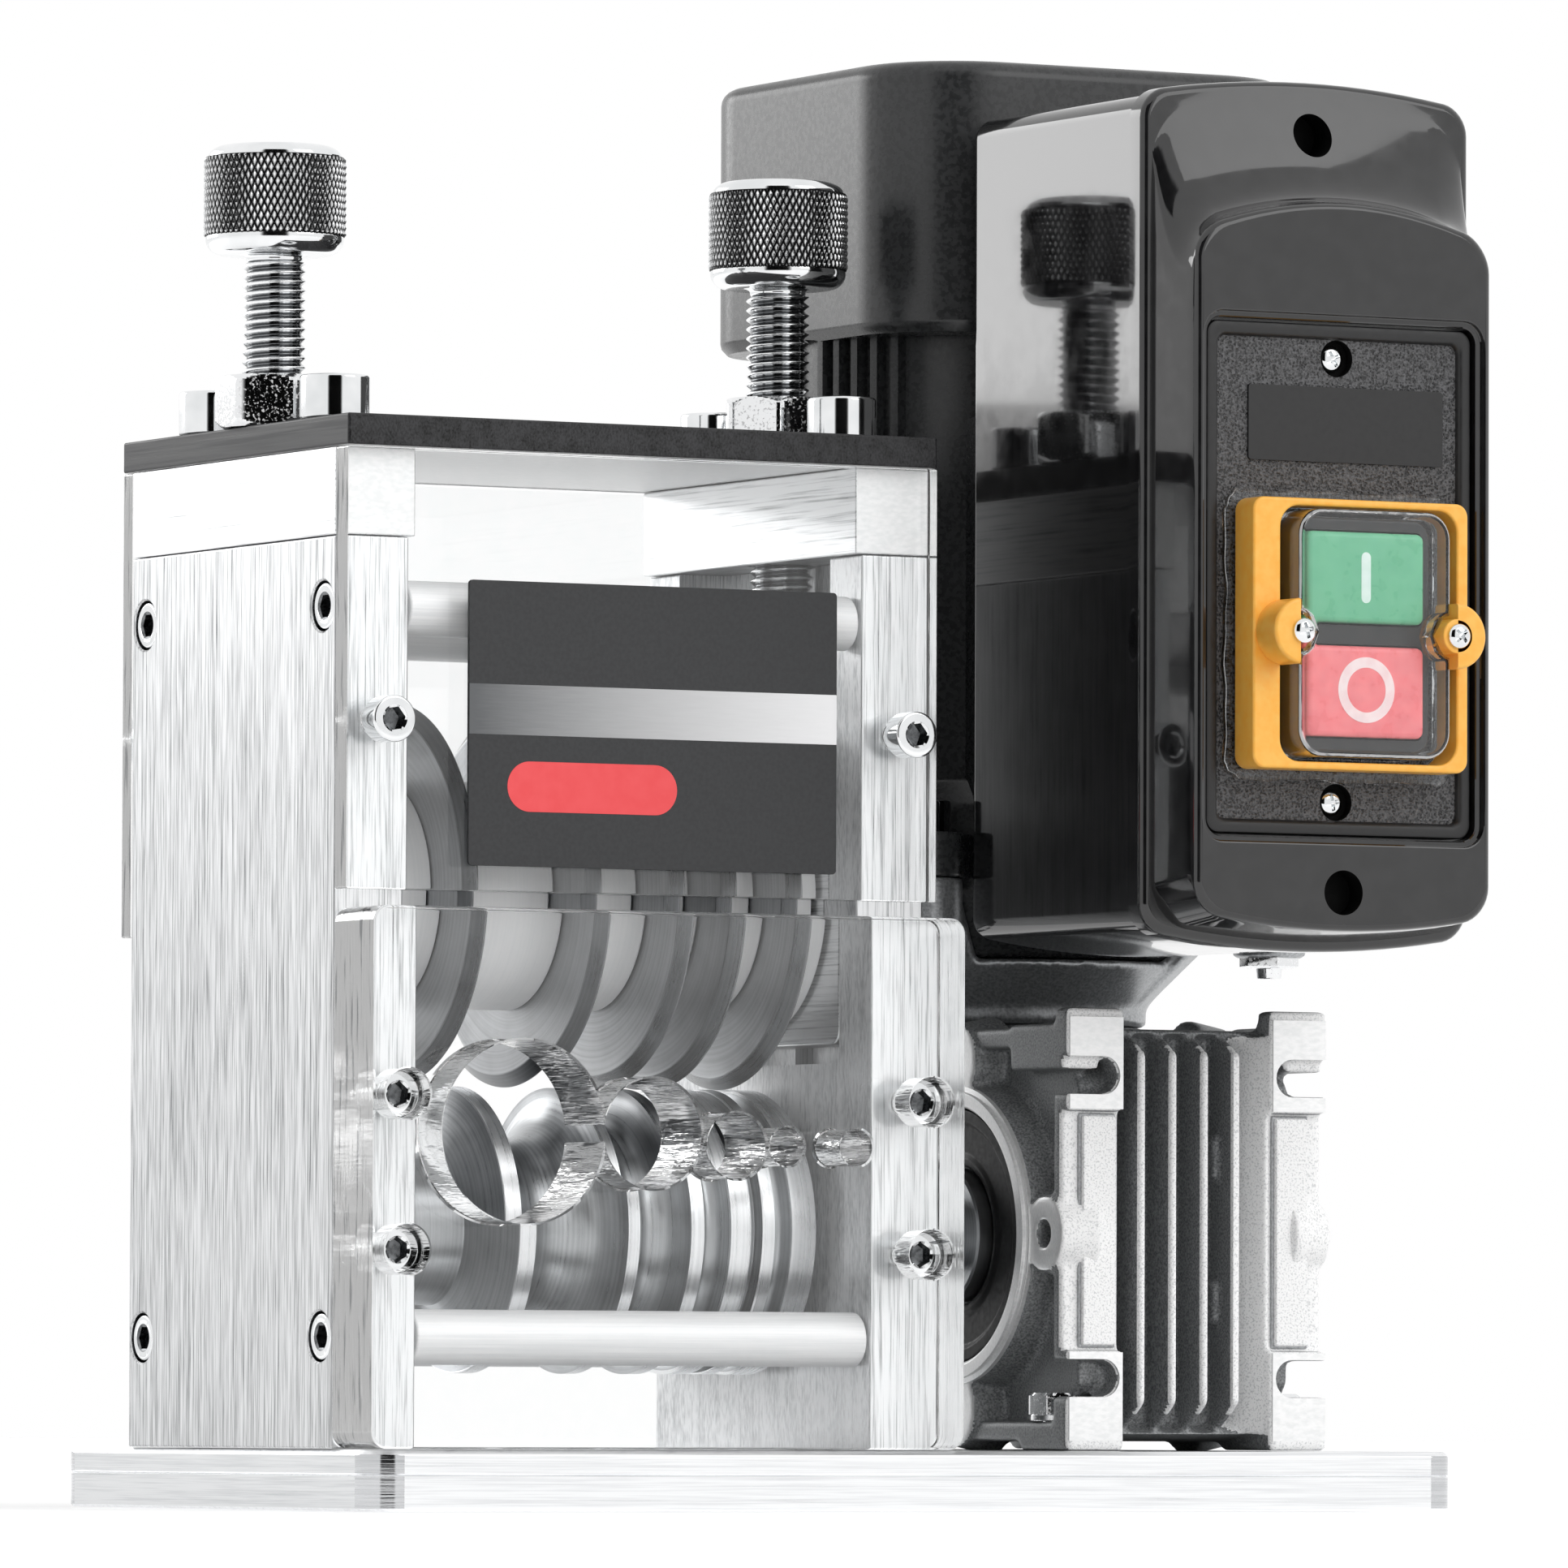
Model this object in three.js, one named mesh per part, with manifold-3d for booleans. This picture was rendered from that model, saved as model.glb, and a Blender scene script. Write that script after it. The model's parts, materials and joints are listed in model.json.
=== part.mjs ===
// A bench machine that slits the insulation of electric wire.
// Millimetres, +Z up, +X towards the gearbox, -Y towards the side where the wire is fed in.
// The origin is the centre of the base plate's underside.

import * as THREE from "three";
import { mergeVertices } from "three/addons/utils/BufferGeometryUtils.js";
import Module from "manifold-3d";

const wasm = await Module();
wasm.setup();

// Clearances and facets

const seat = 0.15; // between faces that rest on each other
const fit = 0.3; // around a screw, rod or plug in its hole
const runningFit = 0.08; // around a turning journal
const slidingFit = 0.3; // beside a block that slides in its slot
const overrun = 1; // how far a cutting shape passes the face it cuts
const weldDistance = 1e-4;
const largeSides = 24;
const mediumSides = 16;
const smallSides = 8;
const arcSteps = 2;

// Base plate

const baseLength = 228;
const baseDepth = 127;
const baseThickness = 11;
const baseCornerRadius = 6.6;
const baseEdgeChamfer = 0.9;

// Frame: two side plates, their end blocks and the top plate

const frameWidth = 121.5;
const plateDepth = 82;
const plateThickness = 14;
const sidePlateHeight = 164;
const endBlockThickness = 15.3;
const endBlockHeight = 15.8;
const topPlateThickness = 5.7;
const topPlateRearLip = 0.3;
const slotWidth = 58;
const slotDepth = 10;
const slotFloorHeight = 71;
const slotCornerRadius = 3.5;

// Tie rods between the side plates, each with a socket screw at both ends

const tieRodRadius = 5;
const tieRodInset = 5.1;
const tieRodLowHeight = 20.2;
const tieRodHighHeight = 151.5;
const tieScrewHeadRadius = 4.25;
const tieScrewShankRadius = 2.4;
const tieScrewHeadHeight = 5;
const tieCounterboreDepth = 5.6;
const tieSocketWidth = 4;

// Clear guards, feed block and label plate

const guardThickness = 4.9;
const guardBottomHeight = 100.4;
const guardScrewHeight = 130.8;
const rearGuardThickness = 4;
const rearGuardBottomHeight = 94;
const feedBlockThickness = 15.9;
const feedBlockHeight = 97;
const feedBlockCornerRadius = 3;
const feedBlockScrewHeights = [35.7, 63.5];
const feedBlockCounterboreDepth = 9;
const labelWidth = 75.8;
const labelHeight = 51.5;
const labelThickness = 0.8;
const labelShift = 1.3;
const labelCornerRadius = 0.8;
const labelBottomAboveGuard = 4.6;

// Panel screws (M5) and top plate screws (M8)

const panelScrewHeadRadius = 4.25;
const panelScrewHeadHeight = 5;
const panelScrewShankRadius = 2.4;
const panelScrewSocketWidth = 4;
const panelScrewGrip = 9;
const topScrewHeadRadius = 6.4;
const topScrewHeadHeight = 8.2;
const topScrewShankRadius = 3.7;
const topScrewSocketWidth = 6;
const topScrewSpread = 24.5;
const topScrewGrip = 9;
const socketDepthShare = 0.6;
const screwEdgeChamfer = 0.5;

// Thumb screws that set the height of the cutter, and their nuts

const thumbRowInset = 8.2;
const thumbThreadRadius = 5.9;
const thumbKnobRadius = 13.1;
const thumbKnurlHeight = 14.6;
const thumbRimHeight = 3.2;
const thumbCapHeight = 2.2;
const thumbRimRadius = 11.2;
const thumbCapRadius = 11.6;
const thumbNeckRadius = 5.2;
const thumbNeckHeight = 1.6;
const thumbKnobRise = 30.2; // underside of the right knob above the top plate
const thumbKnobStep = 1.7; // the left screw stands one pitch higher
const thumbNutWidth = 19;
const thumbNutHeight = 9.5;
const thumbNutChamfer = 1.1;
const thumbNutTurns = { left: -4.9, right: 33.2 }; // degrees from a corner facing the feed side

// Sliding bearing blocks

const bearingBlockHeight = 54;
const bearingBlockThickness = 9.4;
const bearingBlockCornerRadius = 3;

// Cutter: shaft, blades, spacers and clamp collar

const cutterHeight = 101.4;
const cutterShaftRadius = 10;
const cutterJournalRadius = 7.5;
const bladeRadius = 35;
const bladeThickness = 2.2;
const bladeBevelWidth = 1.9;
const bladeBevelDepth = 2.4;
const spacerRadius = 21;
const spacerEdgeChamfer = 0.4;
const collarRadius = 25;
const collarLipRadius = 22.5;
const collarLipWidth = 2;

// Wire lanes, counted from the left. Each has a feed hole, a blade above and a groove in the roller below.

const laneFromLeft = [30.5, 55.8, 73, 83.8, 97.5];
const feedHoleFromLeft = [30.5, 56.8, 74, 84.4, 98.8];
const feedHoleHeight = [57, 57, 55, 55, 55];
const feedHoleRadius = [16.5, 10, 6, 3.5, 3.35];
const grooveWidth = [0, 19, 10.6, 5.6, 3.6];
const grooveDepth = [12.4, 9.5, 6.5, 4, 3];

const lanes = laneFromLeft.map((fromLeft, i) => ({
  fromLeft,
  holeFromLeft: feedHoleFromLeft[i],
  holeHeight: feedHoleHeight[i],
  holeRadius: feedHoleRadius[i],
  grooveWidth: grooveWidth[i],
  grooveDepth: grooveDepth[i],
}));

// Drive roller

const rollerRadius = 26.3;
const rollerJournalRadius = 8.5;
const rollerHubRadius = 10.5;
const rollerHubWidth = 5;
const rollerEndGap = 0.5;
const rollerFirstLandFromLeft = 43;
const rollerWallWidth = 5;
const reliefGrooveFromLeft = 92;
const reliefGrooveWidth = 2.2;
const reliefGrooveDepth = 3;
const rollerShaftRadius = 7;
const rollerRightStepRadius = 20;
const rollerRightStepWidth = 2.6;

// Worm gearbox, measured from its output axis

const gearboxFromPlate = 59.6; // from the right side plate's outer face to the gearbox's output axis
const gearboxHalfHeight = 40;
const gearboxHalfWidth = 28;
const gearboxCoreHalfWidth = 22.5;
const gearboxCoreCorner = 12;
const wormOffset = 34.5;
const wormHousingRadius = 27;
const padDepth = 5.2;
const padWidth = 12.3;
const padTopHeight = 13.9;
const padBottomHeight = 17.2;
const gearboxRearReach = 57;
const padSlotWidth = 6.8;
const padSlotReach = 11;
const padSlotHighHeight = 29.3;
const padSlotLowHeight = 26.7;
const padSlotFront = 28; // from the output axis forwards to the front foot bolts
const columnRecess = 1.6;
const columnRibWidth = 6;
const finThickness = 1.5;
const finCount = 4;
const finPitch = 6.75;
const finRecess = 1.2;
const finHeightShare = 0.86;
const outputRingRadius = 27.7;
const outputRingProud = 2.2;
const outputRingWall = 3.6;
const sealDepth = 3;
const sleeveRadius = 12.5;
const sleeveProud = 1.2;
const sealLipGap = 0.3;
const lugPitchRadius = 32.5;
const lugRadius = 5.2;
const lugHoleRadius = 2.6;
const lugHoleDepth = 9;
const footBoltHeadWidth = 10;
const footBoltHeadHeight = 4;
const footWasherRadius = 5.5;
const footWasherThickness = 1.2;
const footBoltInset = 5.2;
const footPocketHeight = 8;

// Input flange between gearbox and motor

const neckRadius = 28;
const neckHeight = 6;
const bowlRadius = 31;
const bowlHeight = 12.2;
const earPitchRadius = 53;
const earRadius = 7;
const earTopHeight = 26.6;
const earBottomHeight = 13;
const armWidth = 9;
const armRise = 5;
const earNutWidth = 10;
const earNutHeight = 1.9;
const earStudRadius = 2.5;
const earStudHeight = 2;

// Motor

const motorRadius = 41.5;
const endShieldRadius = 45;
const endShieldHeight = 21.5;
const endShieldDrop = 12;
const motorEarHeight = 8.4;
const earScrewRadius = 4.8;
const earScrewHeight = 6;
const motorTopHeight = 212.2;
const ribHeight = 2.4;
const ribWidth = 1.8;
const ribAngles = [57, 63, 69, 75, 81]; // degrees from the front, mirrored to both sides
const fanCoverHeight = 51;
const fanCoverHalfWidth = 45.1;
const fanCoverCornerRadius = 21.3;
const fanCoverEdgeRadius = 3;
const fanCoverLip = 2.5;
const fanCoverOverlap = 3;
const terminalPadWidth = 52;
const terminalPadHeight = 84;
const terminalPadBottomHeight = 110;

// Control box, from its back to the raised switch panel

const boxShift = -0.1; // sideways from the motor's axis
const boxBackY = -20;
const boxBottomHeight = 94.8;
const boxWidth = 70;
const boxHeight = 153.6;
const boxArch = 3.2;
const boxCornerRadius = 7;
const boxBodyDepth = 59.5;
const coverDepth = 5.4;
const coverEdgeRadius = 2.2;
const coverJointStep = 0.8;
const panelRaise = 13.5;
const panelDraft = 3.2;
const panelTopHeight = 129;
const panelArch = 6;
const panelRamp = 10;
const panelCornerRadius = 8;
const recessWidth = 57.5;
const recessHeight = 94.5;
const recessBottomHeight = 17.2;
const recessDepth = 5.5;
const recessCornerRadius = 3;
const coverScrewHoleRadius = 4.2;
const coverScrewHoleDepth = 16;
const coverScrewHighHeight = 146.8;
const coverScrewLowHeight = 7.4;

// Switch: plate, gasket, housing, guard, clear cover and two buttons

const switchPlateThickness = 3.4;
const switchPlateLip = 1.2;
const switchPlateLipWidth = 2.4;
const switchPlateGap = 0.5;
const switchCentreHeight = 54; // above the box bottom
const gasketWidth = 50;
const gasketHeight = 54;
const gasketThickness = 1.7;
const gasketCornerRadius = 4;
const guardFrameWidth = 45.8;
const guardFrameHeight = 49.4;
const guardFrameDepth = 6.9;
const guardFrameCornerRadius = 2.4;
const guardWindowWidth = 37.6;
const guardWindowHeight = 46.6;
const guardWindowShift = 1.7;
const guardWindowCornerRadius = 4;
const guardEarSpread = 16.5;
const guardEarRadius = 6;
const guardEarDepth = 7;
const guardEarRoot = 0.4;
const guardBossRadius = 3.2;
const guardBossDepth = 6;
const guardEarScrewRadius = 2.3;
const guardEarScrewHeight = 1.3;
const switchHousingWidth = 29;
const switchHousingHeight = 42.6;
const switchHousingDepth = 8.6;
const switchHousingCornerRadius = 3.4;
const buttonWidth = 24.8;
const buttonHeight = 16.6;
const buttonSpread = 20.8;
const buttonDepth = 7.4;
const buttonProud = 1.8;
const buttonCornerRadius = 1;
const buttonGap = 0.35;
const buttonStemRadius = 3;
const buttonStemLength = 8;
const coverWidth = 32.2;
const coverHeight = 45.2;
const coverWall = 0.9;
const coverRise = 5.2;
const coverShelf = 0.8;
const coverSkirt = 6.4;
const coverNotchRadius = 3.8;
const coverCornerRadius = 5;
const plateScrewSpread = 40.6;
const plateScrewRadius = 2.9;
const plateScrewHeight = 1.4;

// Colours, roughness and metalness

function finish(color, roughness, metalness, opacity = 1) {
  return new THREE.MeshStandardMaterial({
    color,
    roughness,
    metalness,
    opacity,
    transparent: opacity < 1,
  });
}

const aluminium = finish(0xd9dbdd, 0.35, 0.9);
const blackPlate = finish(0x2b2c2e, 0.45, 0.3);
const polishedSteel = finish(0xc9cbce, 0.18, 1);
const turnedSteel = finish(0x9fa1a3, 0.32, 1);
const clearPlastic = finish(0xeaf2f4, 0.05, 0, 0.3);
const labelBlack = finish(0x303133, 0.5, 0);
const castAluminium = finish(0x77797a, 0.6, 0.7);
const sealRubber = finish(0x1d1d1f, 0.6, 0);
const motorBlack = finish(0x333435, 0.3, 0.2);
const boxBlack = finish(0x29292a, 0.2, 0);
const plateBlack = finish(0x2e2e30, 0.65, 0);
const guardOrange = finish(0xf9a832, 0.4, 0);
const startGreen = finish(0x3e9c6b, 0.4, 0);
const stopRed = finish(0xe8616b, 0.4, 0);

// The radius of a faceted hole whose flats stay clear of a round bar inside it.
function boreRadius(radius, clearance, sides) {
  return (radius + clearance) / Math.cos(Math.PI / sides);
}

// Solids from three.js geometry

function solidOf(geometry) {
  const bare = geometry.clone();
  bare.deleteAttribute("normal");
  bare.deleteAttribute("uv");
  const merged = mergeVertices(bare, weldDistance);
  const source = merged.index.array;
  const kept = [];
  for (let i = 0; i < source.length; i += 3) {
    const [a, b, c] = [source[i], source[i + 1], source[i + 2]];
    if (a !== b && b !== c && c !== a) kept.push(a, b, c);
  }
  const vertProperties = new Float32Array(merged.attributes.position.array);
  const closed = (order) =>
    new wasm.Manifold(
      new wasm.Mesh({ numProp: 3, vertProperties, triVerts: new Uint32Array(order) }),
    );
  const solid = closed(kept);
  return solid.volume() < 0 ? closed(kept.reverse()) : solid;
}

function geometryOf(solid) {
  const mesh = solid.getMesh();
  const geometry = new THREE.BufferGeometry();
  const positions = new Float32Array(mesh.numVert * 3);
  for (let i = 0; i < mesh.numVert; i++) {
    positions.set(mesh.vertProperties.subarray(i * mesh.numProp, i * mesh.numProp + 3), i * 3);
  }
  geometry.setAttribute("position", new THREE.BufferAttribute(positions, 3));
  geometry.setIndex(new THREE.BufferAttribute(mesh.triVerts, 1));
  const faceted = geometry.toNonIndexed();
  faceted.computeVertexNormals();
  return faceted;
}

function joined(first, ...others) {
  return others.reduce((sum, solid) => sum.add(solid), first);
}

function cut(first, ...tools) {
  return tools.reduce((left, tool) => left.subtract(tool), first);
}

// A block between two opposite corners.
function block(x0, x1, y0, y1, z0, z1) {
  const geometry = new THREE.BoxGeometry(x1 - x0, y1 - y0, z1 - z0);
  geometry.translate((x0 + x1) / 2, (y0 + y1) / 2, (z0 + z1) / 2);
  return solidOf(geometry);
}

// Turning a geometry whose length runs along Y so that it runs along the named axis.
function turnTo(axis, geometry) {
  if (axis === "x") geometry.rotateZ(-Math.PI / 2);
  if (axis === "z") geometry.rotateX(Math.PI / 2);
  return geometry;
}

function placedFrom(axis, geometry, from, a, b) {
  if (axis === "x") return geometry.translate(from, a, b);
  if (axis === "y") return geometry.translate(a, from, b);
  return geometry.translate(a, b, from);
}

// A round bar from one place to another along an axis; a and b are its other two coordinates.
function bar(axis, radius, from, to, a, b, sides = smallSides) {
  const geometry = new THREE.CylinderGeometry(radius, radius, to - from, sides);
  return solidOf(placedFrom(axis, turnTo(axis, geometry), (from + to) / 2, a, b));
}

// A hexagonal bar, sized across its flats.
function hexBar(axis, width, from, to, a, b) {
  const radius = width / Math.sqrt(3);
  const geometry = new THREE.CylinderGeometry(radius, radius, to - from, 6);
  return solidOf(placedFrom(axis, turnTo(axis, geometry), (from + to) / 2, a, b));
}

// A turned piece from pairs of radius and place along the axis.
function turned(axis, pairs, a, b, sides = mediumSides) {
  const points = pairs.map(([radius, place]) => new THREE.Vector2(radius, place));
  return solidOf(placedFrom(axis, turnTo(axis, new THREE.LatheGeometry(points, sides)), 0, a, b));
}

// A flat outline in X and Z, from y0 to y1.
function frontSlab(shape, y0, y1) {
  const options = { depth: y1 - y0, bevelEnabled: false, curveSegments: arcSteps };
  const geometry = new THREE.ExtrudeGeometry(shape, options);
  return solidOf(geometry.rotateX(Math.PI / 2).translate(0, y1, 0));
}

// A flat outline in Y and Z, from x0 to x1.
function sideSlab(shape, x0, x1) {
  const options = { depth: x1 - x0, bevelEnabled: false, curveSegments: arcSteps };
  const geometry = new THREE.ExtrudeGeometry(shape, options);
  return solidOf(geometry.rotateX(Math.PI / 2).rotateZ(Math.PI / 2).translate(x0, 0, 0));
}

function roundedRectangle(width, height, radius, cx = 0, cy = 0) {
  const shape = new THREE.Shape();
  const x = cx + width / 2 - radius;
  const y = cy + height / 2 - radius;
  const left = cx - width / 2 + radius;
  const low = cy - height / 2 + radius;
  shape.absarc(x, y, radius, 0, Math.PI / 2);
  shape.absarc(left, y, radius, Math.PI / 2, Math.PI);
  shape.absarc(left, low, radius, Math.PI, Math.PI * 1.5);
  shape.absarc(x, low, radius, Math.PI * 1.5, Math.PI * 2);
  shape.closePath();
  return shape;
}

// A solid between outlines with equal numbers of points, each at its own depth along -Y.
function loft(sections) {
  const count = sections[0].points.length;
  const positions = [];
  sections.forEach(({ points, y }) => points.forEach((p) => positions.push(p.x, y, p.y)));
  const triangles = [];
  for (let s = 0; s + 1 < sections.length; s++) {
    for (let i = 0; i < count; i++) {
      const next = (i + 1) % count;
      const [a, b] = [s * count + i, s * count + next];
      const [c, d] = [a + count, b + count];
      triangles.push(a, b, d, a, d, c);
    }
  }
  const cap = THREE.ShapeUtils.triangulateShape(sections[0].points, []);
  const last = (sections.length - 1) * count;
  cap.forEach(([a, b, c]) => {
    triangles.push(a, c, b);
    triangles.push(last + a, last + b, last + c);
  });
  const geometry = new THREE.BufferGeometry();
  geometry.setAttribute("position", new THREE.Float32BufferAttribute(positions, 3));
  geometry.setIndex(triangles);
  return solidOf(geometry);
}

// A socket head screw along an axis. It points from head to tip in the direction of sign.
function socketScrew(axis, sign, headFace, a, b, size) {
  const { headRadius, headHeight, shankRadius, shankLength, socketWidth } = size;
  const at = (distance) => headFace + sign * distance;
  const chamfer = screwEdgeChamfer;
  const pairs = [
    [0, at(0)],
    [headRadius - chamfer, at(0)],
    [headRadius, at(chamfer)],
    [headRadius, at(headHeight)],
    [shankRadius, at(headHeight)],
    [shankRadius, at(headHeight + shankLength)],
    [0, at(headHeight + shankLength)],
  ];
  const ends = [at(-overrun), at(headHeight * socketDepthShare)];
  const socket = hexBar(axis, socketWidth, Math.min(...ends), Math.max(...ends), a, b);
  return cut(turned(axis, pairs, a, b, smallSides), socket);
}

function piece(name, solid, material) {
  const mesh = new THREE.Mesh(geometryOf(solid), material);
  mesh.name = name;
  return mesh;
}

function groupAt(x, y, z, ...children) {
  const group = new THREE.Group();
  group.position.set(x, y, z);
  group.add(...children);
  return group;
}

// Base plate: rounded corners, with a small chamfer all round the top edge.

function basePlate() {
  const low = roundedRectangle(baseLength, baseDepth, baseCornerRadius);
  const inner = roundedRectangle(
    baseLength - 2 * baseEdgeChamfer,
    baseDepth - 2 * baseEdgeChamfer,
    baseCornerRadius - baseEdgeChamfer,
  );
  const stand = (shape, y) => ({ points: shape.getPoints(arcSteps), y });
  const levels = [
    stand(low, 0),
    stand(low, -baseThickness + baseEdgeChamfer),
    stand(inner, -baseThickness),
  ];
  return piece("base_plate", lyingLoft(levels), aluminium);
}

// The same loft laid flat: its outlines lie in X and Y, and it grows upwards.
function lyingLoft(sections) {
  const solid = loft(sections);
  return solidOf(geometryOf(solid).rotateX(-Math.PI / 2).scale(1, -1, 1));
}

// The frame's own origin is the middle of its footprint on the base plate.

const half = frameWidth / 2;
const plateInner = half - plateThickness;
const frontFace = -plateDepth / 2;
const rearFace = plateDepth / 2;
const screwColumn = half - plateThickness / 2;
const thumbRow = half - thumbRowInset;
const endBlockBottom = sidePlateHeight + seat;
const endBlockTop = endBlockBottom + endBlockHeight;
const topPlateBottom = endBlockTop + seat;
const topPlateTop = topPlateBottom + topPlateThickness;
const rollerHeight = gearboxHalfHeight + seat;
const laneX = (lane) => lane.fromLeft - half;

const tieRods = [
  { name: "front_top", y: frontFace + tieRodInset, z: tieRodHighHeight },
  { name: "front_bottom", y: frontFace + tieRodInset, z: tieRodLowHeight },
  { name: "rear_top", y: rearFace - tieRodInset, z: tieRodHighHeight },
  { name: "rear_bottom", y: rearFace - tieRodInset, z: tieRodLowHeight },
];

const panelScrew = {
  headRadius: panelScrewHeadRadius,
  headHeight: panelScrewHeadHeight,
  shankRadius: panelScrewShankRadius,
  socketWidth: panelScrewSocketWidth,
};

// Side plate: milled slot for the bearing block, bearing seat for the roller, rod and screw holes.

function sidePlate(name, side) {
  const outer = side * half;
  const inner = side * plateInner;
  const pocketWall = side * (plateInner + slotDepth);
  const ends = [outer, inner].sort((a, b) => a - b);
  const pocket = [pocketWall, side * (plateInner - overrun)].sort((a, b) => a - b);
  const slotTop = sidePlateHeight + overrun + slotCornerRadius;
  const slotMiddle = (slotFloorHeight + slotTop) / 2;
  const slot = roundedRectangle(slotWidth, slotTop - slotFloorHeight, slotCornerRadius, 0, slotMiddle);
  let body = cut(
    block(ends[0], ends[1], frontFace, rearFace, seat, sidePlateHeight),
    sideSlab(slot, pocket[0], pocket[1]),
  );
  const channel = boreRadius(thumbThreadRadius, fit, smallSides);
  body = cut(body, bar("z", channel, slotFloorHeight, slotTop, side * thumbRow, 0));
  const seatRadius = boreRadius(rollerJournalRadius, runningFit, largeSides);
  const seatEnds = side < 0 ? pocket : [ends[0] - overrun, ends[1] + overrun];
  body = cut(body, bar("x", seatRadius, seatEnds[0], seatEnds[1], 0, rollerHeight, largeSides));
  for (const rod of tieRods) {
    const counterbore = [outer + side * overrun, outer - side * tieCounterboreDepth];
    counterbore.sort((a, b) => a - b);
    body = cut(
      body,
      bar("x", tieScrewShankRadius + fit, ends[0] - overrun, ends[1] + overrun, rod.y, rod.z),
      bar("x", tieScrewHeadRadius + fit, counterbore[0], counterbore[1], rod.y, rod.z),
    );
  }
  const hole = panelScrewShankRadius + fit;
  const frontHole = frontFace + panelScrewGrip + fit;
  for (const z of [...feedBlockScrewHeights, guardScrewHeight]) {
    body = cut(body, bar("y", hole, frontFace - overrun, frontHole, side * screwColumn, z));
  }
  const rearHole = rearFace - panelScrewGrip - fit;
  body = cut(body, bar("y", hole, rearHole, rearFace + overrun, side * screwColumn, guardScrewHeight));
  return piece(name, body, aluminium);
}

// End block on top of a side plate: it carries the thumb screw and two top plate screws.

function endBlock(name, side) {
  const ends = [side * half, side * (half - endBlockThickness)].sort((a, b) => a - b);
  let body = block(ends[0], ends[1], frontFace, rearFace, endBlockBottom, endBlockTop);
  const x = side * thumbRow;
  const from = endBlockBottom - overrun;
  const to = endBlockTop + overrun;
  body = cut(body, bar("z", thumbThreadRadius + fit, from, to, x, 0, mediumSides));
  for (const y of [-topScrewSpread, topScrewSpread]) {
    const floor = endBlockTop - topScrewGrip - fit;
    body = cut(body, bar("z", topScrewShankRadius + fit, floor, to, x, y));
  }
  return piece(name, body, aluminium);
}

function topPlate() {
  const front = frontFace - seat - guardThickness;
  const rear = rearFace + seat + rearGuardThickness + topPlateRearLip;
  let body = block(-half, half, front, rear, topPlateBottom, topPlateTop);
  const from = topPlateBottom - overrun;
  const to = topPlateTop + overrun;
  for (const x of [-thumbRow, thumbRow]) {
    body = cut(body, bar("z", thumbThreadRadius + fit, from, to, x, 0, mediumSides));
    for (const y of [-topScrewSpread, topScrewSpread]) {
      body = cut(body, bar("z", topScrewShankRadius + fit, from, to, x, y));
    }
  }
  return piece("top_plate", body, blackPlate);
}

// Tie rod with a socket screw in each end, its heads sunk in the side plates.

function tieRod(rod) {
  const end = plateInner - seat;
  const headInner = half - tieCounterboreDepth + seat;
  const headOuter = headInner + tieScrewHeadHeight;
  let body = joined(
    bar("x", tieRodRadius, -end, end, rod.y, rod.z, smallSides),
    bar("x", tieScrewShankRadius, -headInner - seat, headInner + seat, rod.y, rod.z),
  );
  for (const side of [-1, 1]) {
    const head = [side * headInner, side * headOuter].sort((a, b) => a - b);
    const depth = tieScrewHeadHeight * socketDepthShare;
    const socket = [side * (headOuter - depth), side * (headOuter + overrun)].sort((a, b) => a - b);
    body = cut(
      joined(body, bar("x", tieScrewHeadRadius, head[0], head[1], rod.y, rod.z)),
      hexBar("x", tieSocketWidth, socket[0], socket[1], rod.y, rod.z),
    );
  }
  return piece(`${rod.name}_tie_rod`, body, polishedSteel);
}

// Clear guards and the thick clear feed block

function upperFrontGuard() {
  const face = frontFace - seat;
  let body = block(-half, half, face - guardThickness, face, guardBottomHeight, topPlateBottom - seat);
  for (const x of [-screwColumn, screwColumn]) {
    const hole = panelScrewShankRadius + fit;
    const from = face - guardThickness - overrun;
    body = cut(body, bar("y", hole, from, face + overrun, x, guardScrewHeight));
  }
  return piece("upper_front_guard", body, clearPlastic);
}

// The rear guard is one piece with the two screws that hold it.
function rearGuard() {
  const face = rearFace + seat;
  const outside = face + rearGuardThickness;
  let body = block(-half, half, face, outside, rearGuardBottomHeight, topPlateBottom - seat);
  const shankLength = seat + panelScrewGrip;
  const size = { ...panelScrew, headHeight: panelScrewHeadHeight + rearGuardThickness, shankLength };
  for (const x of [-screwColumn, screwColumn]) {
    body = joined(body, socketScrew("y", -1, outside + panelScrewHeadHeight, x, guardScrewHeight, size));
  }
  return piece("rear_guard", body, clearPlastic);
}

function feedBlock() {
  const back = frontFace - seat;
  const front = back - feedBlockThickness;
  const middle = seat + feedBlockHeight / 2;
  const outline = roundedRectangle(frameWidth, feedBlockHeight, feedBlockCornerRadius, 0, middle);
  let body = frontSlab(outline, front, back);
  for (const lane of lanes) {
    const sides = lane.holeRadius > cutterShaftRadius ? largeSides : mediumSides;
    const from = front - overrun;
    const to = back + overrun;
    body = cut(body, bar("y", lane.holeRadius, from, to, lane.holeFromLeft - half, lane.holeHeight, sides));
  }
  for (const x of [-screwColumn, screwColumn]) {
    for (const z of feedBlockScrewHeights) {
      const floor = front + feedBlockCounterboreDepth;
      body = cut(
        body,
        bar("y", panelScrewShankRadius + fit, front - overrun, back + overrun, x, z),
        bar("y", panelScrewHeadRadius + fit, front - overrun, floor, x, z),
      );
    }
  }
  return piece("feed_block", body, clearPlastic);
}

function labelPlate() {
  const back = frontFace - seat - guardThickness - seat;
  const middle = guardBottomHeight + labelBottomAboveGuard + labelHeight / 2;
  const outline = roundedRectangle(labelWidth, labelHeight, labelCornerRadius, labelShift, middle);
  return piece("label_plate", frontSlab(outline, back - labelThickness, back), labelBlack);
}

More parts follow.
